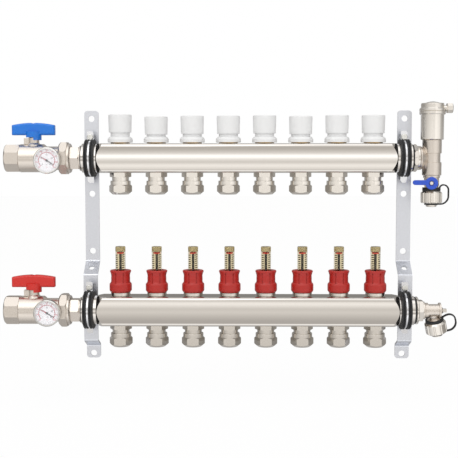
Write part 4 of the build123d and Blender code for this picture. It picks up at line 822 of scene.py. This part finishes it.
@dataclass
class Studio:
    """Floor, lamps and world.

    Attributes:
        floor_drop: Height of the floor in metres.
        floor_size: Side of the square floor in metres.
        floor_colour: Colour of the painted floor.
        floor_glow: Share of plain white in what the camera sees of the floor.
        front_strength: Strength of the room on the camera's side.
        back_strength: Strength of the room behind the wall's plane.
        back_start: How far to the back, from -1 to 1, the room has its lower strength.
        lamps: The softboxes.
    """

    floor_drop: float = -0.22
    floor_size: float = 14.0
    floor_colour: str = "#F4F4F4"
    floor_glow: float = 0.96
    front_strength: float = 1.75
    back_strength: float = 0.7
    back_start: float = 0.2
    lamps: tuple[Softbox, ...] = (
        Softbox("key softbox", (-0.9, -1.6, 1.5), (2.2, 1.6), 9.0),
        Softbox("fill softbox", (1.5, -1.3, 0.5), (2.0, 2.0), 3.5),
        Softbox("top softbox", (0.0, -0.2, 1.4), (1.8, 1.0), 3.5),
    )

    def build(self) -> None:
        """Builds the floor, lamps and world."""
        self._add_floor()
        for lamp in self.lamps:
            lamp.build()
        self._set_world()

    def _add_floor(self) -> None:
        """Adds the pale floor, which shows white, keeps a soft shadow and isn't mirrored in the metal."""
        half = self.floor_size / 2
        mesh = bpy.data.meshes.new("studio_floor")
        corners = [(-half, -half), (half, -half), (half, half), (-half, half)]
        mesh.from_pydata([(x, y, self.floor_drop) for x, y in corners], [], [(0, 1, 2, 3)])
        floor = bpy.data.objects.new("studio_floor", mesh)
        bpy.context.scene.collection.objects.link(floor)
        material = bpy.data.materials.new("Painted board, white")
        material.use_nodes = True
        tree = material.node_tree
        tree.nodes.clear()
        paint = add_node(tree, "ShaderNodeBsdfDiffuse", values={"Color": linear(self.floor_colour)})
        glow = add_node(tree, "ShaderNodeEmission", values={"Color": (1, 1, 1, 1), "Strength": 1.0})
        path = add_node(tree, "ShaderNodeLightPath")
        share = add_node(
            tree,
            "ShaderNodeMath",
            values={1: self.floor_glow},
            links={0: path.outputs["Is Camera Ray"]},
            operation="MULTIPLY",
        )
        mix = add_node(
            tree,
            "ShaderNodeMixShader",
            links={0: share.outputs[0], 1: paint.outputs["BSDF"], 2: glow.outputs["Emission"]},
        )
        add_node(tree, "ShaderNodeOutputMaterial", links={"Surface": mix.outputs["Shader"]})
        mesh.materials.append(material)
        floor.visible_glossy = False

    def _set_world(self) -> None:
        """Sets the banded room, brighter in front, which the camera sees as plain white."""
        world = bpy.data.worlds.new("studio")
        bpy.context.scene.world = world
        world.use_nodes = True
        tree = world.node_tree
        tree.nodes.clear()
        place = add_node(tree, "ShaderNodeTexCoord")
        split = add_node(tree, "ShaderNodeSeparateXYZ", links={0: place.outputs["Generated"]})
        height = add_node(
            tree,
            "ShaderNodeMapRange",
            values={"From Min": -1.0, "From Max": 1.0},
            links={"Value": split.outputs["Z"]},
        )
        ramp = add_node(tree, "ShaderNodeValToRGB", links={"Fac": height.outputs["Result"]})
        elements = ramp.color_ramp.elements
        for element, (position, colour) in zip(elements, (ROOM_BANDS[0], ROOM_BANDS[-1])):
            element.position, element.color = position, linear(colour)
        for position, colour in ROOM_BANDS[1:-1]:
            elements.new(position).color = linear(colour)
        depth = add_node(
            tree,
            "ShaderNodeMapRange",
            values={
                "From Min": -1.0,
                "From Max": self.back_start,
                "To Min": self.front_strength,
                "To Max": self.back_strength,
            },
            links={"Value": split.outputs["Y"]},
        )
        room = add_node(
            tree,
            "ShaderNodeBackground",
            links={"Color": ramp.outputs["Color"], "Strength": depth.outputs["Result"]},
        )
        white = add_node(tree, "ShaderNodeBackground", values={"Color": (1, 1, 1, 1), "Strength": 1.0})
        path = add_node(tree, "ShaderNodeLightPath")
        mix = add_node(
            tree,
            "ShaderNodeMixShader",
            links={
                0: path.outputs["Is Camera Ray"],
                1: room.outputs["Background"],
                2: white.outputs["Background"],
            },
        )
        add_node(tree, "ShaderNodeOutputWorld", links={"Surface": mix.outputs["Shader"]})


@dataclass
class Viewpoint:
    """The photograph's camera.

    Attributes:
        place: Position in metres.
        yaw: Turn to the left in radians.
        pitch: Tilt downwards in radians.
        roll: Turn about the line of sight in radians.
        focal_px: Focal length in pixels of the photograph.
        frame_px: Width and height of the photograph in pixels.
        sensor_mm: Width of the camera's sensor in millimetres.
        clip: Nearest and farthest distance that is seen, in metres.
    """

    place: tuple[float, float, float] = (-6.04 * MM, -1350.07 * MM, 112.0 * MM)
    yaw: float = 0.0151
    pitch: float = 0.0745
    roll: float = -0.0006
    focal_px: float = 949.63
    frame_px: int = 458
    sensor_mm: float = 36.0
    clip: tuple[float, float] = (0.05, 60.0)

    def build(self) -> None:
        """Creates the camera and makes it the scene's own."""
        camera = bpy.data.cameras.new("photograph")
        camera.sensor_fit = "HORIZONTAL"
        camera.sensor_width = self.sensor_mm
        camera.lens = self.focal_px / self.frame_px * camera.sensor_width
        camera.clip_start, camera.clip_end = self.clip
        holder = bpy.data.objects.new("photograph", camera)
        turn = Euler((math.pi / 2 - self.pitch, 0, self.yaw)).to_matrix() @ Matrix.Rotation(self.roll, 3, "Z")
        holder.matrix_world = Matrix.Translation(self.place) @ turn.to_4x4()
        bpy.context.scene.collection.objects.link(holder)
        bpy.context.scene.camera = holder


def main() -> None:
    """Builds the dressed manifold, the studio and the camera."""
    logging.basicConfig(level=logging.INFO, format="%(name)s: %(message)s")
    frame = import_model()
    nodes = frame["nodes"]
    assemblies = [Framework(), Branches(), HandKnobs(), FlowMeters(), BallValves(), EndFittings()]
    assemblies += [ThermometerShells(), Thermometer("return"), Thermometer("supply")]
    for assembly in assemblies:
        assembly.build(nodes)
        LOG.info("built %s", type(assembly).__name__)
    Studio().build()
    Viewpoint().build()
    bpy.context.scene.view_settings.view_transform = "Standard"
    bpy.context.view_layer.update()


if __name__ == "__main__":
    main()
